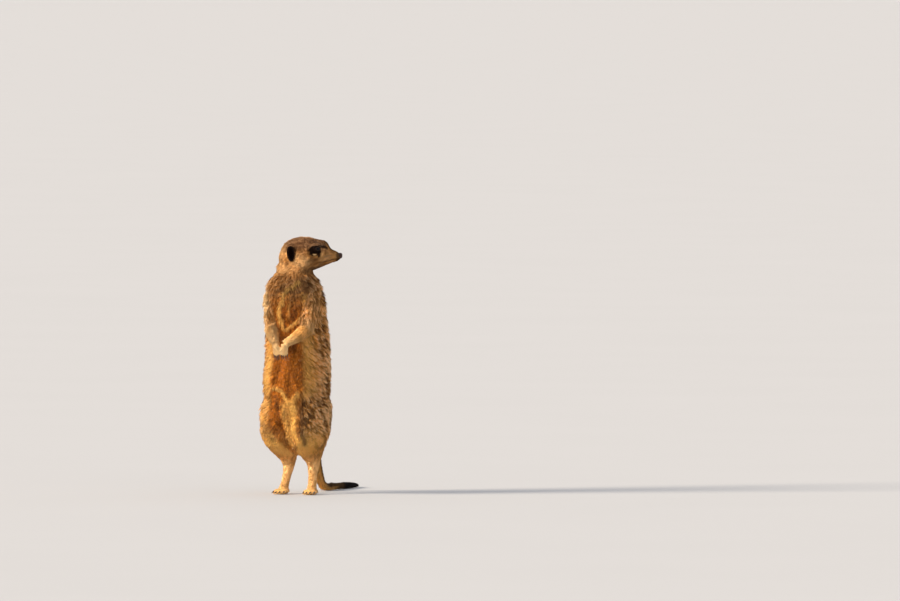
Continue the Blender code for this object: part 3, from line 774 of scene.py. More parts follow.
@dataclass(frozen=True)
class Lie:
    """The direction in which the coat lies."""

    sweep: float = 0.95
    over_foot: tuple[float, float, float] = (0.0, -0.75, -0.75)
    over_toes: tuple[float, float, float] = (0.0, -1.0, -0.12)
    along_floor: tuple[float, float, float] = (0.04, 1.0, 0.0)
    toe_height: float = 9.0
    lying_tail_height: float = 11.0

    def directions(self, points: Array, nodes: Array, regions: Array) -> Array:
        """The lie before it is laid on the skin.

        Args:
            points: the skin's places.
            nodes: the number of the flesh node at each place.
            regions: the region number at each place.

        Returns:
            A direction at each place.
        """
        made = np.tile(-UP, (len(points), 1))
        angle = np.abs(TRUNK.round_angle(points))
        height = points[:, 2] / MM
        trunk = is_in(regions, *TRUNK_REGIONS, Region.THIGH)
        sweep = self.sweep * ease(angle, 22, 50) * ease(angle, 178, 130) * ease(height, 262, 232)
        made = np.where(trunk[:, None], made + sweep[:, None] * TRUNK.to_back(points), made)
        for name, way in self.limb_ways().items():
            made[nodes == FLESH.index(name)] = way
        foot = is_in(regions, Region.FOOT)
        made[foot] = self.over_foot
        made[foot & (height < self.toe_height)] = self.over_toes
        tail = is_in(regions, Region.TAIL_MIDDLE, Region.TAIL_TIP)
        made[tail & (height < self.lying_tail_height)] = self.along_floor
        head = is_in(regions, Region.HEAD)
        made[head] = self.on_head(points[head])
        return unit(made)

    def limb_ways(self) -> dict[str, Array]:
        """One direction for each node of the limbs, ears and tail."""
        ways = {}
        for side in SIDES:
            chain = [f"upper_arm_{side}", f"forearm_{side}", f"hand_{side}"]
            ways[chain[0]] = middle(chain[1]) - middle(chain[0])
            ways[chain[1]] = middle(chain[2]) - middle(chain[1])
            ways[chain[2]] = np.array((0, 0, -1.0))
            ways[f"shank_{side}"] = np.array((0, 0.35, -1.0))
            ways[f"ear_{side}"] = -0.7 * HEAD.ahead + 0.5 * UP
        ways["tail_base"] = middle("tail_middle") - middle("tail_base")
        ways["tail_middle"] = np.array((0.08, 0.42, -0.9))
        return {name: unit(way) for name, way in ways.items()}

    def on_head(self, points: Array) -> Array:
        """Backwards from the nose, a little down on the cheeks, and away from the eyes."""
        at = HEAD.local(points)
        made = -HEAD.ahead - UP * (0.25 + 0.5 * ease(at[:, 0], 8, -18))[:, None]
        for side in SIDES.values():
            away = points - HEAD.place(HEAD.EYE_AHEAD + 3.0, side * HEAD.EYE_SIDE, HEAD.EYE_UP)
            near = ease(np.linalg.norm(away, axis=1) / MM, 11.0, 6.5)
            made = made + 1.3 * near[:, None] * unit(away)
        return made


# ---- The skin ----


@dataclass(frozen=True)
class Eyelids:
    """The almond opening of the lids over one eyeball."""

    side: float
    radius: float
    gaze: tuple[float, float, float] = (0.42, 0.88, 0.10)
    half_long: float = 0.80
    half_tall: float = 0.62
    lid: float = 0.55
    sink: float = 1.1
    tilt: float = 0.16
    narrowing: float = 0.42
    crease_depth: float = 0.35
    crease_place: float = 1.62
    crease_width: float = 0.14
    fold_reach: float = 2.1

    @property
    def centre(self) -> Array:
        """The middle of the eyeball."""
        return middle("eye_left" if self.side > 0 else "eye_right")

    def axes(self) -> tuple[Array, Array, Array]:
        """The gaze, the direction to the eye's front corner, and the direction to the brow."""
        ahead, out, up = self.gaze
        gaze = HEAD.direction(ahead, self.side * out, up)
        corner = unit(np.cross(UP, gaze)) * -self.side
        corner = corner * math.cos(self.tilt) - UP * math.sin(self.tilt)
        corner = unit(corner - (corner @ gaze) * gaze)
        brow = np.cross(gaze, corner) * -self.side
        return gaze, corner, brow if brow[2] > 0 else -brow

    def spread(self, points: Array) -> tuple[Array, Array, Array]:
        """Where places lie against the opening.

        Args:
            points: places near the eye.

        Returns:
            Their distance from the eye's middle, 1 on the rim of the opening and less inside it, and how far
            they face the gaze.
        """
        gaze, corner, brow = self.axes()
        away = points - self.centre
        distance = np.linalg.norm(away, axis=1)
        way = away / distance[:, None]
        long, tall = way @ corner, way @ brow
        narrow = 1.0 - self.narrowing * np.clip(np.abs(long) / self.half_long, 0, 1) ** 2
        reach = np.sqrt((long / self.half_long) ** 2 + (tall / (self.half_tall * narrow)) ** 2)
        facing = way @ gaze
        return distance, np.where(facing > 0.1, reach, 9.0), facing

    def shape(self, points: Array) -> Array:
        """Folds the skin over the eyeball, with an opening whose rim turns in."""
        distance, reach, facing = self.spread(points)
        near = (distance < self.radius + 5 * MM) & (facing > 0.0)
        rim = self.radius + self.lid * MM * (1.0 + 0.5 * ease(reach, 1.5, 1.05))
        crease = np.exp(-(((reach - self.crease_place) / self.crease_width) ** 2))
        outside = np.maximum(distance, rim) - self.crease_depth * MM * crease
        inside = np.full_like(distance, self.radius - self.sink * MM)
        new = blend(outside, inside, ease(reach, 1.02, 0.86))
        new = np.where(near & (reach < self.fold_reach), new, distance)
        return self.centre + (points - self.centre) * (new / distance)[:, None]


LIDS = {word: Eyelids(side, EYE_RADIUS) for word, side in SIDES.items()}


@dataclass
class SkinData:
    """What the coat and the materials need to know about the skin, at each vertex."""

    points: Array
    normals: Array
    triangles: Array
    regions: Array
    styles: Array
    lie: Array
    masks: dict[str, Array]


@dataclass
class Skin:
    """One closed skin over all flesh, inside the solids by the depth of the coat."""

    voxel: float = 0.82 * MM
    puff: float = 0.45 * MM
    seat_radius: float = 1.5 * MM
    trunk_kept: float = 0.17
    eye_reach: float = 9.5
    lowest: float = 0.15 * MM
    mouth_depth: float = 0.55
    lip_height: float = 0.16
    lip_fill: float = 0.9
    row_height: float = 0.07
    row_pitch: float = 3.4
    labels: Labels = field(default_factory=Labels)

    def union(self) -> bpy.types.Object:
        """Copies flesh, eyeballs and nose, a little swollen, and plugs for the claws' seats into one mesh."""
        shape = bmesh.new()
        for name in [*FLESH, "eye_left", "eye_right", "nose"]:
            piece = bmesh.new()
            piece.from_mesh(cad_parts[name].data)
            bmesh.ops.remove_doubles(piece, verts=piece.verts, dist=1e-6)
            bmesh.ops.recalc_face_normals(piece, faces=piece.faces)
            piece.normal_update()
            for vertex in piece.verts:
                vertex.co += vertex.normal * self.puff
            mesh = bpy.data.meshes.new("swollen")
            piece.to_mesh(mesh)
            piece.free()
            shape.from_mesh(mesh)
            bpy.data.meshes.remove(mesh)
        for name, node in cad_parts.items():
            if "claw" in name:
                for place in self.seats(points_of(node.data), name.startswith("fore")):
                    seat = Matrix.Translation(place)
                    bmesh.ops.create_icosphere(shape, subdivisions=2, radius=self.seat_radius, matrix=seat)
        return object_of("skin", shape)

    def seats(self, points: Array, hangs: bool) -> list[Array]:
        """The root end of a claw, where the digit's seat is filled.

        Args:
            points: the claw's vertices.
            hangs: True for a claw of a hand, which points down, and False for one that points ahead.

        Returns:
            Two places along the claw's root.
        """
        reach = points[:, 2] if hangs else points[:, 1]
        order = np.argsort(-reach)
        root = points[order[: len(order) // 4]].mean(0)
        tip = points[order[-1]]
        way = unit(tip - root)
        return [root - way * 0.2 * MM, root + way * 0.9 * MM]

    def fuse(self, skin: bpy.types.Object) -> None:
        """Turns the overlapping pieces into one fine closed mesh and drops what is inside it."""
        remesh = skin.modifiers.new("fuse", "REMESH")
        remesh.mode = "VOXEL"
        remesh.voxel_size = self.voxel
        self.apply(skin)
        shape = bmesh.new()
        shape.from_mesh(skin.data)
        seen: set[bmesh.types.BMVert] = set()
        groups = []
        for first in shape.verts:
            if first in seen:
                continue
            group, todo = [], [first]
            seen.add(first)
            while todo:
                here = todo.pop()
                group.append(here)
                for edge in here.link_edges:
                    other = edge.other_vert(here)
                    if other not in seen:
                        seen.add(other)
                        todo.append(other)
            groups.append(group)
        groups.sort(key=len, reverse=True)
        for group in groups[1:]:
            bmesh.ops.delete(shape, geom=group, context="VERTS")
        shape.to_mesh(skin.data)
        shape.free()

    def apply(self, skin: bpy.types.Object) -> None:
        """Applies the skin's modifiers."""
        graph = bpy.context.evaluated_depsgraph_get()
        mesh = bpy.data.meshes.new_from_object(skin.evaluated_get(graph))
        skin.modifiers.clear()
        skin.data = mesh

    def styles(self, points: Array, regions: Array, masks: dict[str, Array], web: Web) -> Array:
        """The coat's numbers at each vertex: depth, length, width, lift and density.

        Args:
            points: the vertices' places.
            regions: their region numbers.
            masks: the markings, of which the belly's coat is shorter.
            web: the skin's edges.

        Returns:
            One row of five numbers for each vertex.
        """
        height = points[:, 2] / MM
        made = np.array([STYLES[region].row() for region in Region])[regions]
        made = BELLY_STYLE.laid(made, masks["belly"])
        inner = is_in(regions, Region.THIGH) * ease(np.abs(TRUNK.round_angle(points)), 45, 20)
        made = BELLY_STYLE.laid(made, inner)
        hem = is_in(regions, Region.THIGH, Region.PELVIS, Region.TAIL_BASE) * ease(height, 86, 60)
        made = STYLES[Region.SHANK].laid(made, hem)
        ankle = is_in(regions, Region.SHANK) * ease(height, 62, 34)
        made = STYLES[Region.FOOT].laid(made, 0.8 * ankle)
        made = web.relax(made, 12)
        made = LINE_STYLE.laid(made, 0.85 * masks["line"])
        at = HEAD.local(points)
        head = share_in(regions, Region.HEAD)
        made = MUZZLE_STYLE.laid(made, head * ease(at[:, 0], 16, 26))
        for lids in LIDS.values():
            distance, _, facing = lids.spread(points)
            near = ease(distance, lids.radius + 5.5 * MM, lids.radius + 2 * MM)
            made = LID_STYLE.laid(made, near * ease(facing, -0.4, 0.2))
        ruff = 0.7 * head * ease(at[:, 2], -9, -19) * ease(at[:, 0], 8, -6)
        made = STYLES[Region.NECK].laid(made, ruff)
        made = STYLES[Region.EAR].laid(made, web.relax(share_in(regions, Region.EAR), 2))
        return web.relax(made, 4)

    def inset(self, skin: bpy.types.Object, markings: Markings) -> None:
        """Smooths the form and lays it inside the solids by the coat's depth."""
        web = Web(skin.data)
        points = points_of(skin.data)
        regions = self.labels.regions_at(points)
        fine = share_in(regions, Region.HAND, Region.FOOT, Region.EAR)
        weight = 0.5 - 0.32 * web.relax(fine, 4)
        points = web.smooth(points, 10, weight)
        trunk = share_in(regions, *TRUNK_REGIONS, Region.THIGH)
        trunk = trunk + is_in(regions, Region.UPPER_ARM) * ease(points[:, 2] / MM, 200, 214)
        trunk = web.relax(trunk, 10)
        points = web.relax(points, 30, 0.5 * trunk)
        place_points(skin.data, points)
        masks = markings.masks(points, regions, web)
        depth = self.styles(points, regions, masks, web)[:, 0] * MM
        normals = unit(web.relax(normals_of(skin.data), 6))
        points = points - normals * (depth + self.puff * 0.8)[:, None]
        points = web.relax(points, 4, 0.5 * trunk)
        place_points(skin.data, points)

    def thin(self, skin: bpy.types.Object) -> None:
        """Makes the mesh coarser on the trunk and the thighs, where the coat covers it."""
        points = points_of(skin.data)
        regions = self.labels.regions_at(points)
        coarse = is_in(regions, *TRUNK_REGIONS, Region.THIGH, Region.TAIL_BASE)
        coarse = coarse & (np.maximum.reduce([crease.mask(points) for crease in CREASES]) < 0.05)
        group = skin.vertex_groups.new(name="coarse")
        group.add(np.flatnonzero(coarse).tolist(), 1.0, "REPLACE")
        decimate = skin.modifiers.new("thin", "DECIMATE")
        decimate.ratio = 1.0 - coarse.mean() * (1.0 - self.trunk_kept)
        decimate.vertex_group = "coarse"
        decimate.use_collapse_triangulate = True
        self.apply(skin)
        skin.vertex_groups.clear()

    def refine(self, skin: bpy.types.Object) -> None:
        """Splits the mesh round the eyes, for the lids."""
        shape = bmesh.new()
        shape.from_mesh(skin.data)
        eyes = [Vector(lids.centre) for lids in LIDS.values()]
        for reach in (self.eye_reach, 0.8 * self.eye_reach):
            near = []
            for edge in shape.edges:
                place = (edge.verts[0].co + edge.verts[1].co) / 2
                if min((place - eye).length for eye in eyes) < reach * MM:
                    near.append(edge)
            bmesh.ops.subdivide_edges(shape, edges=near, cuts=1, use_grid_fill=True)
        bmesh.ops.triangulate(shape, faces=shape.faces)
        shape.to_mesh(skin.data)
        shape.free()

    def fold(self, points: Array, normals: Array, trunk: Array, web: Web) -> Array:
        """Adds the lids, the lips' line, the whisker pads' rows and the creases of the trunk.

        Args:
            points: the skin's places.
            normals: the directions that they face.
            trunk: 1 on the trunk and thighs, 0 elsewhere.
            web: the skin's edges.

        Returns:
            The changed places.
        """
        at = HEAD.local(points)
        ahead, side, up = at[:, 0], np.abs(at[:, 1]), at[:, 2]
        near_eyes = np.zeros(len(points))
        for lids in LIDS.values():
            distance = lids.spread(points)[0]
            near_eyes = np.maximum(near_eyes, ease(distance, lids.radius + 5 * MM, lids.radius + 3 * MM))
        points = web.relax(points, 5, 0.5 * near_eyes)
        for lids in LIDS.values():
            points = lids.shape(points)
        push = self.mouth(ahead, side, up)
        for crease in CREASES:
            push = push + crease.rise * crease.mask(points) * trunk
        points = points + normals * (push * MM)[:, None]
        pad = HEAD.local(middle("nose"))
        under = ease(ahead, pad[0] - 3.5, pad[0] - 1.0) * ease(up, pad[2] - 0.6, pad[2] - 2.6)
        under = under * ease(up, LIP.height(ahead) - 1.2, LIP.height(ahead) - 0.2)
        return points + HEAD.ahead * (self.lip_fill * under * MM)[:, None]

    def mouth(self, ahead: Array, side: Array, up: Array) -> Array:
        """How far the skin is pushed out at the lips and the rows of the whisker pads, in millimetres.

        Args:
            ahead: how far ahead in the head each place lies.
            side: how far from the head's middle plane.
            up: how high.

        Returns:
            The push at each place.
        """
        over = up - LIP.height(ahead)
        line = np.exp(-((over / 0.55) ** 2))
        mouth = line * ease(ahead, 16.0, 20.0) * ease(ahead, 43.5, 41.5) * ease(side, 0.6, 2.0)
        lip = np.exp(-(((over - 1.3) / 0.8) ** 2)) * ease(ahead, 18, 24)
        rows = np.sin(up * self.row_pitch) * ease(ahead, 28, 33) * ease(up, 2.5, 0.5) * ease(side, 2.5, 4.5)
        push = -self.mouth_depth * mouth + self.lip_height * lip * ease(side, 1.5, 3.0)
        push = push + self.row_height * rows * (1 - line)
        return push * ((ahead > 14) & (up > -14))

    def streaks(self, points: Array, ways: Array, coarse: Array, web: Web) -> Array:
        """Chance streaks that run along the lie, as many dark as light.

        Args:
            points: the skin's places.
            ways: the coat's direction at each.
            coarse: True where the mesh is coarse.
            web: the skin's edges.

        Returns:
            A number from 0 to 1 at each vertex.
        """
        chance = np.random.default_rng(SEED).random(len(points))
        chance = web.relax(chance, 3, np.where(coarse, 0.12, 0.7))
        chance = web.comb(chance, points, ways, 5)
        chance = np.where(coarse, chance, web.comb(chance, points, ways, 8))
        for part in (coarse, ~coarse):
            chance[part] = ranked(chance[part])
        return 0.5 + (chance - 0.5) * np.where(coarse, 0.70, 0.9)

    def build(self, markings: Markings, lie: Lie) -> tuple[bpy.types.Object, SkinData]:
        """Builds the skin.

        Args:
            markings: the coat's markings.
            lie: the lie of the coat.

        Returns:
            The skin and what is known about it at each vertex.
        """
        skin = self.union()
        self.fuse(skin)
        self.inset(skin, markings)
        self.thin(skin)
        self.refine(skin)
        web = Web(skin.data)
        points = points_of(skin.data)
        regions = self.labels.regions_at(points)
        trunk = web.relax(share_in(regions, *TRUNK_REGIONS, Region.THIGH), 3)
        points = self.fold(points, normals_of(skin.data), trunk, web)
        points[:, 2] = np.maximum(points[:, 2], self.lowest)
        place_points(skin.data, points)
        skin.data.shade_smooth()
        normals = normals_of(skin.data)
        nodes = self.labels.nodes(points)
        regions = self.labels.regions[nodes]
        masks = markings.masks(points, regions, web)
        ways = lie.directions(points, nodes, regions)
        ways = flattened(web.relax(flattened(ways, normals), 14), normals)
        styles = self.styles(points, regions, masks, web)
        masks["streak"] = self.streaks(points, ways, trunk > 0.5, web)
        data = SkinData(points, normals, triangles_of(skin.data), regions, styles, ways, masks)
        give(skin.data, "root", points - HEAD.centre)
        give(skin.data, "lie", ways)
        # A low along where the coat is deep paints the skin darker there, as painted shade under the coat.
        give(skin.data, "along", 0.30 + 0.45 * ease(styles[:, 0], 1.8, 0.5))
        give(skin.data, "tone", np.full(len(points), 0.5))
        give_masks(skin.data, masks)
        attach(skin, "root")
        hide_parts(*FLESH)
        return skin, data


STORED = {
    "marks": ("belly", "pale", "dark"),
    "more_marks": ("guard", "band", "crown"),
    "gold": ("gold",),
    "streak": ("streak",),
}


def give_masks(mesh: bpy.types.Mesh, masks: dict[str, Array], times: int = 1) -> None:
    """Stores the markings at each vertex, up to three to a vector.

    Args:
        mesh: the mesh.
        masks: the markings.
        times: how many vertices share each of their values.
    """
    for name, kinds in STORED.items():
        values = masks[kinds[0]] if len(kinds) == 1 else np.stack([masks[kind] for kind in kinds], 1)
        give(mesh, name, np.repeat(values, times, 0))


# ---- The coat ----


@dataclass(frozen=True)
class CoatPiece:
    """One joined piece of the coat.

    It has its regions, the number of its tufts, how many make a lock and how far that draws together.
    Then come whether it is two limbs side by side, whether its tufts bend, its contrast, and how many
    millimetres over the coat's depth a tip may stand.
    """

    name: str
    slot: str
    regions: tuple[Region, ...]
    tufts: int
    clump: int = 9
    gather: float = 0.42
    per_side: bool = False
    bent: bool = True
    contrast: float = 1.0
    proud: float = 0.5

    SIDES_OF_TUFT: ClassVar[int] = 3
    PATCH: ClassVar[float] = 0.0030
    ROOT_DEPTH: ClassVar[float] = 0.35 * MM
    ROOT_SHARE: ClassVar[float] = 0.07
    FLOOR_GAP: ClassVar[float] = 0.3 * MM
    QUICK_SHARE: ClassVar[float] = 0.35
    WANDER_OF_LOCK: ClassVar[float] = 0.16
    WANDER_OF_TUFT: ClassVar[float] = 0.11
    LENGTH_OF_LOCK: ClassVar[float] = 0.13
    LENGTH_OF_TUFT: ClassVar[float] = 0.12
    BEND: ClassVar[float] = math.radians(9)
    LONG_SHARE: ClassVar[float] = 0.16
    LONG_LENGTH: ClassVar[float] = 0.30
    LONG_WIDTH: ClassVar[float] = 0.35
    LONG_LIFT: ClassVar[float] = 9.0
    LONG_REACH: ClassVar[float] = 0.3
    LOCK_TONE: ClassVar[float] = 0.67
    TUFT_TONE: ClassVar[float] = 0.33

    @property
    def corners_of_tuft(self) -> int:
        """How many vertices a tuft has: two rings and a tip if it is bent, or one ring and a tip."""
        return 7 if self.bent else 4

    def pick(self, skin: SkinData, rng: np.random.Generator) -> dict[str, Array]:
        """Chooses the tufts' roots on the skin.

        Args:
            skin: the skin's data.
            rng: the source of chance.

        Returns:
            For each root its place, normal, lie, style and markings.
        """
        owned = is_in(skin.regions, *self.regions)[skin.triangles[:, 0]]
        corners = skin.triangles[owned]
        a, b, c = (skin.points[corners[:, i]] for i in range(3))
        area = np.linalg.norm(np.cross(b - a, c - a), axis=1) / 2
        weight = area * skin.styles[corners, 4].mean(1)
        count = int(self.tufts * (1.0))
        chosen = rng.choice(len(corners), count, p=weight / weight.sum())
        u, v = rng.random(count), rng.random(count)
        over = u + v > 1
        u, v = np.where(over, 1 - u, u), np.where(over, 1 - v, v)
        share = np.stack([1 - u - v, u, v], 1)
        at = corners[chosen]

        def spread(values: Array) -> Array:
            """A value of the skin, carried to the roots."""
            if values.ndim == 1:
                return (values[at] * share).sum(1)
            return (values[at] * share[:, :, None]).sum(1)

        made = {
            "place": spread(skin.points),
            "normal": unit(spread(skin.normals)),
            "lie": spread(skin.lie),
            "style": spread(skin.styles),
        }
        made |= {name: spread(mask) for name, mask in skin.masks.items()}
        return {name: values[self.bare(made["place"])] for name, values in made.items()}

    def bare(self, places: Array) -> Array:
        """False where no hair grows: in the eyes' openings, on the nose pad, under the feet."""
        keep = places[:, 2] > 0.5 * MM
        for lids in LIDS.values():
            distance, reach, _ = lids.spread(places)
            keep &= ~((reach < 1.16) & (distance < lids.radius + 3 * MM))
        low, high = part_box("nose")
        size = np.array((high - low) / 2) * 1.12
        keep &= (((places - middle("nose")) / size) ** 2).sum(1) > 1.0
        return keep

    def build(self, skin: SkinData, rng: np.random.Generator) -> bpy.types.Object:
        """Builds the piece.

        Args:
            skin: the skin's data.
            rng: the source of chance.

        Returns:
            The coat piece, riding on the body.
        """
        roots = self.pick(skin, rng)
        count = len(roots["place"])
        normal = roots["normal"]
        lie = flattened(roots["lie"], normal)
        depth, length, width, lift, _ = roots["style"].T
        group, lock = self.clumps(roots["place"], rng)
        wander = rng.normal(0, self.WANDER_OF_LOCK, lock)[group] + rng.normal(0, self.WANDER_OF_TUFT, count)
        across = np.cross(normal, lie)
        lie = unit(lie * np.cos(wander)[:, None] + across * np.sin(wander)[:, None])
        guard = np.clip(roots["guard"], 0, 1)
        long_hair = (rng.random(count) < self.LONG_SHARE) * guard
        factor = rng.normal(1, self.LENGTH_OF_LOCK, lock)[group] + rng.normal(0, self.LENGTH_OF_TUFT, count)
        length = length * MM * np.clip(factor, 0.5, 1.5)
        length = length * (1 + self.LONG_LENGTH * long_hair)
        width = width * MM * (1 - self.LONG_WIDTH * long_hair) * rng.uniform(0.8, 1.2, count)
        lift = np.radians(lift + (6 + 0.2 * lift) * rng.normal(0, 0.5, lock)[group])
        lift = lift + np.radians(3.5) * rng.normal(0, 1, count) + np.radians(self.LONG_LIFT) * long_hair
        reach = (depth + self.proud) * MM * (1 + self.LONG_REACH * long_hair)
        lift = np.minimum(lift, np.arcsin(np.clip(reach / length, 0, 1)))
        lift = np.clip(lift, math.radians(3), math.radians(66))
        first, last = lift + self.BEND, lift - self.BEND

        def way(angle: Array) -> Array:
            """The tuft's direction at that lift off the skin."""
            return lie * np.cos(angle)[:, None] + normal * np.sin(angle)[:, None]

        buried = np.minimum(self.ROOT_DEPTH, self.ROOT_SHARE * length)
        root = roots["place"] - normal * buried[:, None]
        mid = root + way(first) * (0.5 * length)[:, None]
        tip = mid + way(last) * (0.5 * length)[:, None]
        pull = self.gather * (ease(length, 0.8 * MM, 3.0 * MM) * (1 - 0.75 * roots["line"]))[:, None]
        leaders = np.zeros((lock, 3))
        tally = np.maximum(np.bincount(group, minlength=lock), 1)[:, None]
        for axis in range(3):
            leaders[:, axis] = np.bincount(group, tip[:, axis], lock)
        leaders = (leaders / tally)[group]
        tip = tip + (leaders - tip) * pull
        mid = mid + (leaders - tip) * pull * 0.15
        spine = np.stack([root, mid, tip], 1)
        spine[:, 1:, 2] = np.maximum(spine[:, 1:, 2], self.FLOOR_GAP)
        mesh = self.mesh(spine, normal, width)
        self.dress(mesh, roots, group, lock, rng)
        piece = object_from(self.name, mesh)
        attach(piece, "root")
        return piece

    def clumps(self, places: Array, rng: np.random.Generator) -> tuple[Array, int]:
        """Gathers tufts into locks.

        Args:
            places: the roots.
            rng: the source of chance.

        Returns:
            The number of each tuft's lock, and how many locks there are.
        """
        clump = self.clump * 1.0
        centres = rng.permutation(len(places))[: max(int(len(places) / clump), 1)]
        tree = KDTree(len(centres))
        for number, index in enumerate(centres):
            tree.insert(places[index], number)
        tree.balance()
        return np.array([tree.find(place)[1] for place in places]), len(centres)

    def mesh(self, spine: Array, normal: Array, width: Array) -> bpy.types.Mesh:
        """Joins the tufts, each a closed three-sided blade that tapers to a point.

        Args:
            spine: three places along each tuft.
            normal: the skin's normal at each root.
            width: each tuft's width at its root.

        Returns:
            The mesh.
        """
        count = len(spine)
        way = unit(spine[:, 2] - spine[:, 0])
        side = unit(np.cross(normal, way))
        rise = np.cross(way, side)
        rings = []
        levels = ((0, 0.8), (1, 1.0)) if self.bent else ((0, 1.0),)
        for level, share in levels:
            half = (width * share / 2)[:, None]
            here = spine[:, level]
            rings += [here - side * half, here + side * half, here + rise * half * 0.9]
        points = np.stack([*rings, spine[:, 2]], 1)
        each = self.corners_of_tuft
        start = each * np.arange(count)[:, None]
        corners = [2, 1, 0]
        sizes = [3]
        if self.bent:
            for i in range(self.SIDES_OF_TUFT):
                j = (i + 1) % self.SIDES_OF_TUFT
                corners += [i, j, 3 + j, 3 + i]
                sizes.append(4)
        for i in range(self.SIDES_OF_TUFT):
            corners += [each - 4 + i, each - 4 + (i + 1) % self.SIDES_OF_TUFT, each - 1]
            sizes.append(3)
        loops = (np.array(corners) + start).ravel()
        totals = np.tile(sizes, count)
        mesh = bpy.data.meshes.new(self.name)
        mesh.vertices.add(count * each)
        mesh.vertices.foreach_set("co", points.astype(np.float32).ravel())
        mesh.loops.add(len(loops))
        mesh.loops.foreach_set("vertex_index", loops.astype(np.int32))
        mesh.polygons.add(len(totals))
        starts = np.concatenate([[0], np.cumsum(totals)[:-1]])
        mesh.polygons.foreach_set("loop_start", starts.astype(np.int32))
        mesh.update(calc_edges=True)
        mesh.shade_smooth()
        return mesh

    def dress(
        self, mesh: bpy.types.Mesh, roots: dict[str, Array], group: Array, lock: int, rng: np.random.Generator
    ) -> None:
        """Gives the tufts the values that the fur finish reads, and their places on the unwrap.

        Args:
            mesh: the joined tufts.
            roots: the roots' places and markings.
            group: the number of each tuft's lock.
            lock: how many locks there are.
            rng: the source of chance.
        """
        count = len(group)
        each = self.corners_of_tuft
        tone = self.LOCK_TONE * rng.random(lock)[group] + self.TUFT_TONE * rng.random(count)
        spread = 1 + (self.contrast - 1) * (0.25 + 0.75 * roots["guard"])
        tone = np.clip(0.5 + (tone - 0.5) * spread, 0, 1)
        along = [0.0, 0.0, 0.0, 0.5, 0.5, 0.5, 1.0] if self.bent else [0.0, 0.0, 0.0, 1.0]
        give(mesh, "root", np.repeat(roots["place"] - HEAD.centre, each, 0))
        give(mesh, "lie", np.repeat(flattened(roots["lie"], roots["normal"]), each, 0))
        give(mesh, "along", np.tile(along, count))
        give(mesh, "tone", np.repeat(tone, each))
        give_masks(mesh, roots, each)
        corner = self.unwrap(roots["place"], roots["normal"])
        third = self.PATCH / 3
        patch = [(1.5, 0.0), (3.0, 0.4), (0.0, 0.4)]
        low = 0.5
        if self.bent:
            for i in range(self.SIDES_OF_TUFT):
                patch += [(i, 0.5), (i + 1, 0.5), (i + 1, 1.7), (i, 1.7)]
            low = 1.7
        for i in range(self.SIDES_OF_TUFT):
            patch += [(i, low), (i + 1, low), (i + 0.5, 3.0)]
        uv = corner[:, None, :] + np.array(patch)[None] * third
        layer = mesh.uv_layers.new(name="OFBake")
        layer.data.foreach_set("uv", uv.astype(np.float32).ravel())

    def unwrap(self, places: Array, normals: Array) -> Array:
        """Each tuft's own cell on an unwrap of the skin: round the body across, and along it upwards.

        The unwrap is evened out, so that each tuft has a cell and neighbours stay neighbours.

        Args:
            places: the roots.
            normals: the skin's normals there.

        Returns:
            The lower corner of each tuft's patch.
        """
        long = np.linalg.eigh(np.cov(places.T))[1][:, -1]
        away = places - places.mean(0)
        if self.per_side:
            halves = np.sign(places[:, 0] - TRUNK.centre[0])
            for half in (-1, 1):
                chosen = halves == half
                away[chosen] = places[chosen] - places[chosen].mean(0)
        along = away @ long
        first = unit(np.cross(long, np.array((0.3, 1.0, 0.2))))
        second = np.cross(long, first)
        turn = np.arctan2(normals @ second, normals @ first)
        if self.per_side:
            turn = turn + 7.0 * halves
        count = len(places)
        columns = int(math.ceil(math.sqrt(count)))
        row = np.argsort(np.argsort(along)) // columns
        order = np.lexsort((turn, row))
        cell = np.empty(count)
        cell[order] = np.arange(count)
        across = cell - row * columns
        rows = math.ceil(count / columns)
        made = np.stack([(across + 0.15) / columns, (row + 0.15) / rows], 1)
        return made * (1 - self.PATCH)


COAT = (
    CoatPiece("coat_head", "coat", (Region.HEAD,), 49000, 9, 0.28, bent=False, contrast=0.8),
    CoatPiece("coat_ears", "ear", (Region.EAR,), 5000, 4, 0.1, per_side=True, bent=False),
    CoatPiece("coat_neck", "coat", (Region.NECK,), 9800, 11, 0.55, contrast=1.6, proud=2.2),
    CoatPiece("coat_chest", "coat", (Region.CHEST,), 19800, 11, 0.55, contrast=1.6, proud=1.7),
    CoatPiece("coat_abdomen", "belly_coat", (Region.ABDOMEN,), 19800, 11, 0.55, contrast=1.8),
    CoatPiece("coat_hips", "coat", (Region.PELVIS,), 15800, 11, 0.55, contrast=1.8),
    CoatPiece("coat_thighs", "coat", (Region.THIGH,), 15600, 11, 0.52, per_side=True, contrast=1.8),
    CoatPiece(
        "coat_lower_legs", "pale_coat", (Region.SHANK, Region.FOOT), 40000, 10, 0.3, per_side=True, bent=False
    ),
    CoatPiece(
        "coat_upper_arms", "coat", (Region.UPPER_ARM,), 7600, 10, 0.42, per_side=True, contrast=1.5, proud=1.4
    ),
    CoatPiece(
        "coat_forearms", "pale_coat", (Region.FOREARM, Region.HAND), 24000, 10, 0.3, per_side=True, bent=False
    ),
    CoatPiece("coat_tail", "coat", (Region.TAIL_BASE, Region.TAIL_MIDDLE), 26000, 10, 0.3, bent=False),
    CoatPiece("coat_tail_tip", "tail_tip", (Region.TAIL_TIP,), 12000, 9, 0.3, bent=False),
)


# ---- Shader sums ----


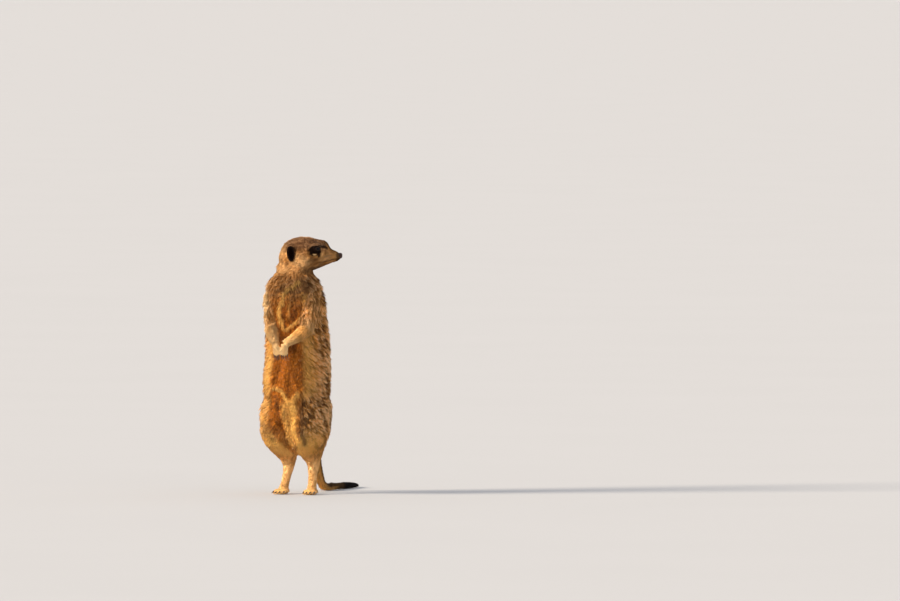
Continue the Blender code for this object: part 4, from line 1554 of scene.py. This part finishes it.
class Value:
    """A socket of a material that takes part in sums."""

    def __init__(self, graph: "Graph", socket: bpy.types.NodeSocket) -> None:
        """Wraps a socket of that graph."""
        self.graph = graph
        self.socket = socket

    def _math(self, operation: str, *values: "Value | float") -> "Value":
        """Adds one Math node."""
        sockets = dict(enumerate(values))
        return self.graph.add("ShaderNodeMath", {"operation": operation}, sockets)

    def __add__(self, other: "Value | float") -> "Value":
        """A sum."""
        return self._math("ADD", self, other)

    def __sub__(self, other: "Value | float") -> "Value":
        """A difference."""
        return self._math("SUBTRACT", self, other)

    def __mul__(self, other: "Value | float") -> "Value":
        """A product."""
        return self._math("MULTIPLY", self, other)

    def __truediv__(self, other: "Value | float") -> "Value":
        """A quotient."""
        return self._math("DIVIDE", self, other)

    def __pow__(self, other: "Value | float") -> "Value":
        """A power."""
        return self._math("POWER", self, other)

    def __rsub__(self, other: float) -> "Value":
        """A number less this."""
        return self._math("SUBTRACT", other, self)

    def __rtruediv__(self, other: float) -> "Value":
        """A number over this."""
        return self._math("DIVIDE", other, self)

    __radd__ = __add__
    __rmul__ = __mul__

    def most(self, other: "Value | float") -> "Value":
        """The larger of two."""
        return self._math("MAXIMUM", self, other)

    def sine(self) -> "Value":
        """The sine."""
        return self._math("SINE", self)

    def step(self, low: float, high: float) -> "Value":
        """A smooth step from 0 at low to 1 at high, where low may be the larger."""
        flip = low > high
        start, end = (high, low) if flip else (low, high)
        ends = (1.0, 0.0) if flip else (0.0, 1.0)
        settings = {"interpolation_type": "SMOOTHSTEP"}
        return self.graph.add("ShaderNodeMapRange", settings, dict(enumerate((self, start, end, *ends))))

    def parts(self) -> tuple["Value", "Value", "Value"]:
        """The three numbers of a vector."""
        node = self.graph.node("ShaderNodeSeparateXYZ", {}, {0: self})
        return tuple(Value(self.graph, node.outputs[i]) for i in range(3))


Input = Value | float | tuple


class Graph:
    """The nodes of one material."""

    def __init__(self, name: str) -> None:
        """Makes the material with a Principled shader."""
        self.material = bpy.data.materials.new(name)
        self.material.use_nodes = True
        self.tree = self.material.node_tree
        self.shader = self.tree.nodes["Principled BSDF"]

    def node(self, kind: str, settings: dict, sockets: dict[str | int, Input]) -> bpy.types.Node:
        """Adds a node.

        Args:
            kind: the node's type.
            settings: its settings, set before its sockets.
            sockets: the value of each input, or what is linked to it.

        Returns:
            The node.
        """
        made = self.tree.nodes.new(kind)
        for key, value in settings.items():
            setattr(made, key, value)
        for key, value in sockets.items():
            self.feed(made.inputs[key], value)
        return made

    def feed(self, socket: bpy.types.NodeSocket, value: Input) -> None:
        """Links a value to a socket, or sets the socket."""
        if isinstance(value, Value):
            self.tree.links.new(value.socket, socket)
        elif isinstance(value, tuple) and len(value) == 3 and socket.type == "RGBA":
            socket.default_value = (*value, 1.0)
        else:
            socket.default_value = value

    def add(self, kind: str, settings: dict, sockets: dict[str | int, Input], output: str | int = 0) -> Value:
        """Adds a node and gives one of its outputs."""
        return Value(self, self.node(kind, settings, sockets).outputs[output])

    def attribute(self, name: str, output: str = "Fac") -> Value:
        """A value that a mesh stores at its vertices."""
        return self.add("ShaderNodeAttribute", {"attribute_name": name}, {}, output)

    def mix(self, first: Input, second: Input, share: Input, kind: str = "MIX") -> Value:
        """A mix of two colours."""
        settings = {"data_type": "RGBA", "blend_type": kind}
        return self.add("ShaderNodeMix", settings, {0: share, 6: first, 7: second}, 2)

    def noise(self, place: Value, scale: float, detail: float = 2.0, rough: float = 0.5) -> Value:
        """Soft noise from 0 to 1."""
        sockets = {"Vector": place, "Scale": scale, "Detail": detail, "Roughness": rough}
        return self.add("ShaderNodeTexNoise", {}, sockets, "Fac")

    def stretched(self, place: Value, by: tuple[float, float, float]) -> Value:
        """A place with its three numbers multiplied."""
        return self.add("ShaderNodeVectorMath", {"operation": "MULTIPLY"}, {0: place, 1: by})

    def own_place(self) -> Value:
        """A place in the object's own axes."""
        return self.add("ShaderNodeTexCoord", {}, {}, "Object")

    def bump(self, height: Value, strength: float, distance: float) -> None:
        """Lets a height shape the shader's normal."""
        sockets = {"Height": height, "Strength": strength, "Distance": distance}
        self.feed(self.shader.inputs["Normal"], self.add("ShaderNodeBump", {}, sockets, "Normal"))

    def finish(self, **sockets: Input) -> bpy.types.Material:
        """Sets the shader's sockets, named with _ for a space, and gives the material."""
        for key, value in sockets.items():
            self.feed(self.shader.inputs[key.replace("_", " ")], value)
        return self.material


# ---- Finishes ----


@dataclass(frozen=True)
class FurFinish:
    """The coat and the skin under it, with the same markings, and painted shade towards the roots and on the
    skin under a deep coat.
    """

    under: Colour = (0.66, 0.305, 0.086)
    warm: Colour = (0.73, 0.300, 0.054)
    belly: Colour = (0.60, 0.195, 0.023)
    belly_deep: Colour = (0.27, 0.078, 0.011)
    gold: Colour = (1.0, 0.60, 0.155)
    pale: Colour = (1.0, 0.70, 0.34)
    crown: Colour = (0.125, 0.060, 0.033)
    dark: Colour = (0.007, 0.0022, 0.0007)
    guard_band: Colour = (0.135, 0.062, 0.024)
    guard_tip: Colour = (0.92, 0.64, 0.35)
    back_band_and_crease_shade: Colour = (0.11, 0.052, 0.026)
    # How bright the coat is painted at its roots: painted shade within the coat.
    base_shade: float = 0.66

    def material(self, name: str, on_skin: bool) -> bpy.types.Material:
        """The material.

        Args:
            name: its name.
            on_skin: True for the skin, which gets bump along the lie, and False for the tufts.

        Returns:
            The material.
        """
        graph = Graph(name)
        root = graph.attribute("root", "Vector")
        along = graph.attribute("along")
        tone = graph.attribute("tone")
        belly, pale, dark = graph.attribute("marks", "Vector").parts()
        guard, band, crown = graph.attribute("more_marks", "Vector").parts()
        gold = graph.attribute("gold")
        streaks = graph.attribute("streak").step(0.12, 0.88)
        patches = graph.noise(root, 70.0, 3.0, 0.6)
        folds = graph.noise(graph.stretched(root, (1.0, 1.0, 0.22)), 150.0).step(0.42, 0.60)
        bright = gold.most(pale)
        lock = (streaks * 0.45 + tone * 0.55).step(0.15, 0.85)
        lock = lock + (0.65 - lock) * bright * 0.70
        colour = graph.mix(self.under, self.warm, patches.step(0.35, 0.65))
        colour = graph.mix(colour, self.crown, crown * 0.90)
        colour = graph.mix(colour, graph.mix(self.belly, self.belly_deep, folds * 0.7), belly)
        colour = graph.mix(colour, self.gold, gold * (0.80 + 0.20 * lock))
        colour = graph.mix(colour, self.pale, pale * (0.70 + 0.45 * lock))
        ring = along.step(0.12, 0.42) * along.step(0.98, 0.72)
        colour = graph.mix(colour, self.guard_band, guard * ring * lock.step(0.66, 0.30) * 0.88)
        light_end = guard * along.step(0.45, 0.85) * lock.step(0.42, 0.78)
        colour = graph.mix(colour, self.guard_tip, light_end * 0.85)
        colour = graph.mix(colour, self.guard_tip, (1 - guard) * along.step(0.6, 1.0) * lock * 0.34)
        # Dark bands of the back, and painted shade in the trunk's creases.
        colour = graph.mix(colour, self.back_band_and_crease_shade, band * 0.85)
        # Near black for the black marks, and for the painted shade of the head and tail held in the dark mask.
        colour = graph.mix(colour, self.dark, dark)
        # Painted shade within the coat: darker towards the roots and on the skin under a deep coat; the lock
        # and patch factors are random tone.
        shade = self.base_shade + (1.0 - self.base_shade) * along.step(0.0, 0.75)
        shade = shade * (0.68 + 0.60 * lock) * (0.9 + 0.2 * patches)
        if on_skin:
            grain = graph.noise(root, 1900.0, 2.0, 0.6)
            shade = shade * (0.75 + 0.50 * grain)
            graph.bump(grain, 0.5, 0.0004)
        # Where gold or pale, the painted shade is lifted, to a little over the colour's own brightness.
        shade = shade + (1.06 - shade) * bright * 0.75
        shaded = graph.add("ShaderNodeCombineColor", {}, {0: shade, 1: shade, 2: shade})
        colour = graph.mix(colour, shaded, 1.0, "MULTIPLY")
        return graph.finish(
            Base_Color=colour,
            Roughness=0.62 + 0.2 * streaks,
            Sheen_Weight=0.01,
            Sheen_Roughness=0.45,
            Specular_IOR_Level=0.04,
        )


@dataclass(frozen=True)
class EyeFinish:
    """A wet, dark brown eye with a level oval pupil."""

    white: Colour = (0.012, 0.008, 0.006)
    iris: Colour = (0.020, 0.009, 0.004)
    iris_rim: Colour = (0.006, 0.003, 0.002)
    pupil: Colour = (0.002, 0.002, 0.002)
    iris_reach: float = 0.66
    pupil_size: tuple[float, float] = (0.36, 0.27)

    def material(self) -> bpy.types.Material:
        """The material, which reads each point's direction from the eye's middle."""
        graph = Graph("wet_eye")
        look = graph.attribute("look", "Vector")
        long, tall, _ = look.parts()
        reach = (long * long + tall * tall) ** 0.5
        fibres = graph.noise(graph.stretched(look, (9.0, 9.0, 1.0)), 3.0, 4.0, 0.7)
        rays = ((long / (tall + 2.0)) * 60.0 + fibres * 6.0).sine() * 0.5 + 0.5
        iris = graph.mix(self.iris, self.iris_rim, rays * 0.35 + reach.step(0.4, self.iris_reach) * 0.65)
        colour = graph.mix(iris, self.white, reach.step(self.iris_reach, self.iris_reach + 0.05))
        wide, high = self.pupil_size
        oval = ((long / wide) ** 2.0 + (tall / high) ** 2.0) ** 0.5
        colour = graph.mix(colour, self.pupil, oval.step(1.08, 0.92))
        graph.bump(fibres, 0.05, 0.0001)
        return graph.finish(
            Base_Color=colour,
            Roughness=0.16 + 0.05 * fibres,
            Specular_IOR_Level=0.06,
            Coat_Weight=0.10,
            Coat_Roughness=0.03,
        )


@dataclass(frozen=True)
class NoseFinish:
    """A bare, damp, finely grained nose pad."""

    flesh: Colour = (0.040, 0.018, 0.012)
    pale: Colour = (0.16, 0.070, 0.045)

    def material(self) -> bpy.types.Material:
        """The material."""
        graph = Graph("nose_pad")
        place = graph.own_place()
        cells = graph.add("ShaderNodeTexVoronoi", {}, {"Vector": place, "Scale": 2600.0}, "Distance")
        blotch = graph.noise(place, 500.0)
        colour = graph.mix(self.flesh, self.pale, blotch.step(0.45, 0.8) * 0.6)
        graph.bump(cells, 0.5, 0.00012)
        return graph.finish(
            Base_Color=colour, Roughness=0.42 + 0.25 * blotch, Specular_IOR_Level=0.2, Coat_Weight=0.04
        )


@dataclass(frozen=True)
class HornFinish:
    """Dark horn, paler towards the point, with fine lengthwise streaks."""

    base: Colour = (0.050, 0.036, 0.027)
    point: Colour = (0.22, 0.165, 0.115)

    def material(self) -> bpy.types.Material:
        """The material, which reads how far along its claw each point lies."""
        graph = Graph("horn")
        along = graph.attribute("along")
        streaks = graph.noise(graph.stretched(graph.own_place(), (1.0, 0.25, 0.25)), 3200.0, 2.0, 0.6)
        colour = graph.mix(self.base, self.point, along.step(0.45, 1.05) * (0.7 + 0.4 * streaks))
        graph.bump(streaks, 0.3, 0.0001)
        return graph.finish(Base_Color=colour, Roughness=0.32 + 0.22 * streaks, Coat_Weight=0.1)


@dataclass(frozen=True)
class WhiskerFinish:
    """Stiff dark whiskers, a little paler at their tips."""

    dark: Colour = (0.035, 0.024, 0.018)
    tip: Colour = (0.25, 0.19, 0.13)

    def material(self) -> bpy.types.Material:
        """The material."""
        graph = Graph("whisker")
        along = graph.attribute("along")
        grain = graph.noise(graph.own_place(), 900.0)
        colour = graph.mix(self.dark, self.tip, along.step(0.4, 1.0) * (0.6 + 0.4 * grain))
        return graph.finish(Base_Color=colour, Roughness=0.4 + 0.1 * grain)


@dataclass(frozen=True)
class FloorFinish:
    """A plain pale studio floor."""

    colour: Colour = (0.55, 0.535, 0.515)

    def material(self) -> bpy.types.Material:
        """The material."""
        graph = Graph("studio_floor")
        cloud = graph.noise(graph.own_place(), 3.0)
        colour = graph.mix(self.colour, tuple(0.97 * c for c in self.colour), cloud)
        return graph.finish(Base_Color=colour, Roughness=0.9, Specular_IOR_Level=0.1)


# ---- Eyes, nose, claws and whiskers ----


@dataclass(frozen=True)
class Eyeball:
    """An eyeball with a bulging cornea."""

    word: str
    rings: int = 36
    turns: int = 48
    cornea_reach: float = math.radians(38)
    bulge: float = 0.05
    clearance: float = 0.05 * MM

    def build(self, finish: bpy.types.Material) -> bpy.types.Object:
        """Builds the eyeball, turned to its gaze."""
        lids = LIDS[self.word]
        gaze, corner, brow = lids.axes()
        shape = bmesh.new()
        bmesh.ops.create_uvsphere(shape, u_segments=self.turns, v_segments=self.rings, radius=1.0)
        looks = []
        for vertex in shape.verts:
            x, y, z = vertex.co
            angle = math.acos(max(-1.0, min(1.0, z)))
            lift = max(0.0, 1.0 - (angle / self.cornea_reach) ** 2)
            radius = (lids.radius - self.clearance) * (1.0 + self.bulge * lift)
            looks.append((x, y, z))
            vertex.co = Vector(lids.centre + (corner * x + brow * y + gaze * z) * radius)
        bmesh.ops.recalc_face_normals(shape, faces=shape.faces)
        made = object_of(f"eyeball_{self.word}", shape)
        give(made.data, "look", np.array(looks))
        made.data.materials.append(finish)
        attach(made, "root")
        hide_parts(f"eye_{self.word}")
        return made


@dataclass(frozen=True)
class NosePad:
    """The bare pad at the end of the muzzle, with two comma nostrils and a groove between them."""

    facets: int = 72
    nostril_depth: float = 1.15
    groove_depth: float = 0.35
    square: float = 2.7
    long_share: float = 3.0 / 3.3
    wide_share: float = 3.9 / 3.3

    def build(self, finish: bpy.types.Material) -> bpy.types.Object:
        """Builds the pad in the CAD pad's place."""
        centre = middle("nose")
        low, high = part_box("nose")
        tall = float(high.z - low.z) / 2 / MM
        long, wide = tall * self.long_share, tall * self.wide_share
        shape = bmesh.new()
        bmesh.ops.create_uvsphere(shape, u_segments=self.facets, v_segments=self.facets // 2, radius=1.0)
        for vertex in shape.verts:
            side, ahead, up = vertex.co
            radius = sum(abs(part) ** self.square for part in (side, ahead, up)) ** (-1 / self.square)
            front = max(0.0, ahead)
            hole = math.hypot((abs(side) - 0.50 - 0.16 * up) / 0.21, (up - 0.02) / 0.25)
            slit = math.hypot((abs(side) - 0.74) / 0.22, (up + 0.16) / 0.11)
            dent = math.exp(-(hole**2)) + 0.7 * math.exp(-(slit**2))
            groove = math.exp(-((side / 0.09) ** 2)) * (1.0 if up < 0.25 else 0.0)
            push = (self.nostril_depth * min(dent, 1.0) + self.groove_depth * groove) * front / tall
            radius -= push
            place = HEAD.ahead * ahead * long + HEAD.left * side * wide + UP * up * tall
            vertex.co = Vector(centre + place * radius * MM)
        bmesh.ops.recalc_face_normals(shape, faces=shape.faces)
        made = object_of("nose_pad", shape)
        made.data.materials.append(finish)
        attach(made, "root")
        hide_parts("nose")
        return made


@dataclass(frozen=True)
class Paw:
    """The four claws of one paw, each a smooth curved cone over its CAD claw."""

    prefix: str
    word: str
    rings: int = 14
    turns: int = 14
    stout: float = 1.3
    past_tip: float = 0.35 * MM

    def build(self, finish: bpy.types.Material) -> bpy.types.Object:
        """Builds the claws of the paw."""
        shape = bmesh.new()
        shares: list[float] = []
        nodes = [f"{self.prefix}_claw_{self.word}_{number}" for number in range(1, 5)]
        for node in nodes:
            shares += self.claw(points_of(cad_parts[node].data), shape)
        bmesh.ops.recalc_face_normals(shape, faces=shape.faces)
        made = object_of(f"{self.prefix}_claws_{self.word}", shape)
        give(made.data, "along", np.array(shares))
        made.data.materials.append(finish)
        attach(made, "root")
        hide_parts(*nodes)
        return made

    def claw(self, points: Array, shape: bmesh.types.BMesh) -> list[float]:
        """Adds one claw along the middle line of its CAD solid.

        Args:
            points: the CAD claw's vertices.
            shape: the mesh it is added to.

        Returns:
            How far along the claw each new vertex lies.
        """
        reach = -points[:, 2] if self.prefix == "fore" else -points[:, 1]
        order = np.argsort(reach)
        quarter = len(order) // 4
        root, tip = points[order[:quarter]].mean(0), points[order[-quarter:]].mean(0)
        bend = points[np.abs(reach - np.median(reach)).argsort()[:quarter]].mean(0)
        way = unit(tip - root)
        tip = tip + way * self.past_tip
        radius = self.stout * np.linalg.norm(np.cross(points[order[:quarter]] - root, way), axis=1).mean()
        side = unit(np.cross(way, UP + 1e-3))
        rise = np.cross(side, way)
        loops, shares = [], []
        for i in range(self.rings):
            t = i / (self.rings - 1)
            place = (1 - t) ** 2 * root + 2 * t * (1 - t) * (2 * bend - (root + tip) / 2) + t**2 * tip
            size = radius * ((1 - t) ** 0.75 * 0.97 + 0.03)
            spokes = []
            for j in range(self.turns):
                turn = 2 * math.pi * j / self.turns
                narrow = 0.78 if math.sin(turn) < 0 else 1.0
                level = side * math.cos(turn) * size * 0.86
                spokes.append(level + rise * math.sin(turn) * size * narrow * 1.12)
            loops.append(add_ring(shape, place, spokes))
            shares += [t] * self.turns
        join_rings(shape, loops)
        return shares


@dataclass(frozen=True)
class Whiskers:
    """Stiff hairs in rows on the sides of the muzzle and over the eyes."""

    rows: tuple[float, ...] = (-1.4, -3.0, -4.5)
    steps: int = 7
    facets: int = 5
    radius: float = 0.13 * MM

    def build(self, skin: SkinData, finish: bpy.types.Material, rng: np.random.Generator) -> bpy.types.Object:
        """Builds all whiskers as one joined mesh.

        Args:
            skin: the skin's data, for where they are rooted.
            finish: their material.
            rng: the source of chance.

        Returns:
            The whiskers.
        """
        shape = bmesh.new()
        shares: list[float] = []
        at = HEAD.local(skin.points)
        for side in SIDES.values():
            starts = [(31.0 + 2.6 * k, up, 9.5 + 2.2 * (2 - k)) for up in self.rows for k in range(3)]
            starts += [(22.5 + 1.6 * k, 12.4 - 0.8 * k, 8.0) for k in range(3)]
            for ahead, up, length in starts:
                score = (at[:, 0] - ahead) ** 2 + (at[:, 2] - up) ** 2 + np.where(at[:, 1] * side > 1, 0, 1e6)
                root = skin.points[score.argmin()]
                way = unit(skin.normals[score.argmin()] * 0.9 - HEAD.ahead * 0.75 - UP * 0.12)
                droop = -HEAD.ahead * 0.5 - UP * 0.35 * rng.uniform(0.6, 1.2)
                shares += self.hair(shape, root, way, droop, length * rng.uniform(0.85, 1.1))
        bmesh.ops.recalc_face_normals(shape, faces=shape.faces)
        made = object_of("whiskers", shape)
        give(made.data, "along", np.array(shares))
        made.data.materials.append(finish)
        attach(made, "root")
        return made

    def hair(
        self, shape: bmesh.types.BMesh, root: Array, way: Array, droop: Array, length: float
    ) -> list[float]:
        """Adds one whisker.

        Args:
            shape: the mesh it is added to.
            root: the place where it leaves the skin.
            way: its direction there.
            droop: the way in which it bends.
            length: its length in millimetres.

        Returns:
            How far along the whisker each new vertex lies.
        """
        rings, shares = [], []
        for i in range(self.steps):
            t = i / (self.steps - 1)
            place = root + (way * t + droop * 0.45 * t * t) * length * MM
            here = unit(way + droop * 0.9 * t)
            side = unit(np.cross(here, UP))
            rise = np.cross(side, here)
            size = self.radius * (1.0 - 0.8 * t)
            turns = [2 * math.pi * j / self.facets for j in range(self.facets)]
            spokes = [side * math.cos(turn) * size + rise * math.sin(turn) * size for turn in turns]
            rings.append(add_ring(shape, place, spokes))
            shares += [t] * self.facets
        join_rings(shape, rings)
        return shares


# ---- The studio ----


@dataclass(frozen=True)
class Studio:
    """Floor, light and camera. The view is level but for two degrees, from the animal's left front."""

    azimuth: float = math.radians(22.0)
    elevation: float = math.radians(2.0)
    lens: float = 400.0
    sensor: float = 36.0
    aspect: float = 900 / 601
    height_share: float = 0.4293
    origin_across: float = 0.3570
    origin_down: float = 0.8194
    floor_reach: float = 400.0
    key_strength: float = 5.8
    key_softness: float = math.radians(16.0)
    key_colour: Colour = (1.0, 0.90, 0.76)
    key_way: tuple[float, float, float] = (-0.93, 0.36, -0.22)
    sky_strength: float = 0.84
    sky_colour: Colour = (0.90, 0.92, 1.0)

    def axes(self) -> tuple[Array, Array, Array]:
        """The view's directions to the right, upwards and away from the camera."""
        turn, rise = self.azimuth, self.elevation
        right = np.array((math.cos(turn), math.sin(turn), 0.0))
        level = np.array((-math.sin(turn), math.cos(turn), 0.0))
        away = level * math.cos(rise) - UP * math.sin(rise)
        return right, np.cross(right, away), away

    def build(self, box: tuple[Vector, Vector]) -> None:
        """Makes the studio round the object's box."""
        self.floor()
        self.lights()
        self.camera(box)

    def floor(self) -> None:
        """A very large pale floor."""
        shape = bmesh.new()
        bmesh.ops.create_circle(shape, cap_ends=True, segments=96, radius=self.floor_reach)
        floor = object_of("floor", shape)
        floor.data.materials.append(FloorFinish().material())
        floor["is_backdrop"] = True

    def lights(self) -> None:
        """A warm soft key from the animal's right, and a pale sky all round."""
        right, _, away = self.axes()
        lamp = bpy.data.lights.new("key", "SUN")
        lamp.energy = self.key_strength
        lamp.angle = self.key_softness
        lamp.color = self.key_colour
        key = bpy.data.objects.new("key", lamp)
        bpy.context.scene.collection.objects.link(key)
        sideways, upwards, onwards = self.key_way
        towards = unit(sideways * right + upwards * UP + onwards * away)
        key.rotation_mode = "QUATERNION"
        key.rotation_quaternion = Vector(towards).to_track_quat("Z", "Y")
        world = bpy.data.worlds.new("sky")
        world.use_nodes = True
        background = world.node_tree.nodes["Background"]
        background.inputs["Color"].default_value = (*self.sky_colour, 1.0)
        background.inputs["Strength"].default_value = self.sky_strength
        bpy.context.scene.world = world
        bpy.context.scene.view_settings.view_transform = "Standard"

    def camera(self, box: tuple[Vector, Vector]) -> None:
        """A long lens far off, with the object at its place in the picture.

        Args:
            box: the object's lowest and highest corner.
        """
        right, up, away = self.axes()
        low, high = box
        tall = (high.z - low.z) * math.cos(self.elevation) / self.height_share
        wide = tall * self.aspect
        foot = np.array(((low.x + high.x) / 2, (low.y + high.y) / 2, low.z))
        aim = foot + right * (0.5 - self.origin_across) * wide + up * (self.origin_down - 0.5) * tall
        aim = aim + away * (away @ (TRUNK.centre * (1, 1, 0) - foot))
        data = bpy.data.cameras.new("camera")
        data.lens, data.sensor_width = self.lens, self.sensor
        distance = wide * self.lens / self.sensor
        data.clip_start, data.clip_end = 0.1, 3 * self.floor_reach
        camera = bpy.data.objects.new("camera", data)
        bpy.context.scene.collection.objects.link(camera)
        camera.location = Vector(aim - away * distance)
        camera.rotation_mode = "QUATERNION"
        camera.rotation_quaternion = Vector(-away).to_track_quat("Z", "Y")
        bpy.context.scene.camera = camera


# ---- The whole meerkat ----


def corners(box: tuple[Vector, Vector]) -> list[list[float]]:
    """A box as plain lists."""
    return [list(corner) for corner in box]


def main() -> None:
    """Builds the meerkat's looks and the studio."""
    logging.basicConfig(level=logging.INFO, format="%(message)s")
    solid_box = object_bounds()
    rng = np.random.default_rng(SEED)
    skin, data = Skin().build(Markings(), Lie())
    skin.data.materials.append(FurFinish().material("short_fur", True))
    LOG.info("skin: %d triangles", len(data.triangles))
    tufts = FurFinish().material("fur", False)
    for piece in COAT:
        made = piece.build(data, rng)
        made.data.materials.append(tufts)
        LOG.info("%s: %d triangles", made.name, len(triangles_of(made.data)))
    wet = EyeFinish().material()
    for word in SIDES:
        LOG.info("%s", Eyeball(word).build(wet).name)
    LOG.info("%s", NosePad().build(NoseFinish().material()).name)
    horn = HornFinish().material()
    for prefix in ("fore", "hind"):
        for word in SIDES:
            LOG.info("%s", Paw(prefix, word).build(horn).name)
    LOG.info("%s", Whiskers().build(data, WhiskerFinish().material(), rng).name)
    Studio().build(solid_box)


if __name__ == "__main__":
    main()
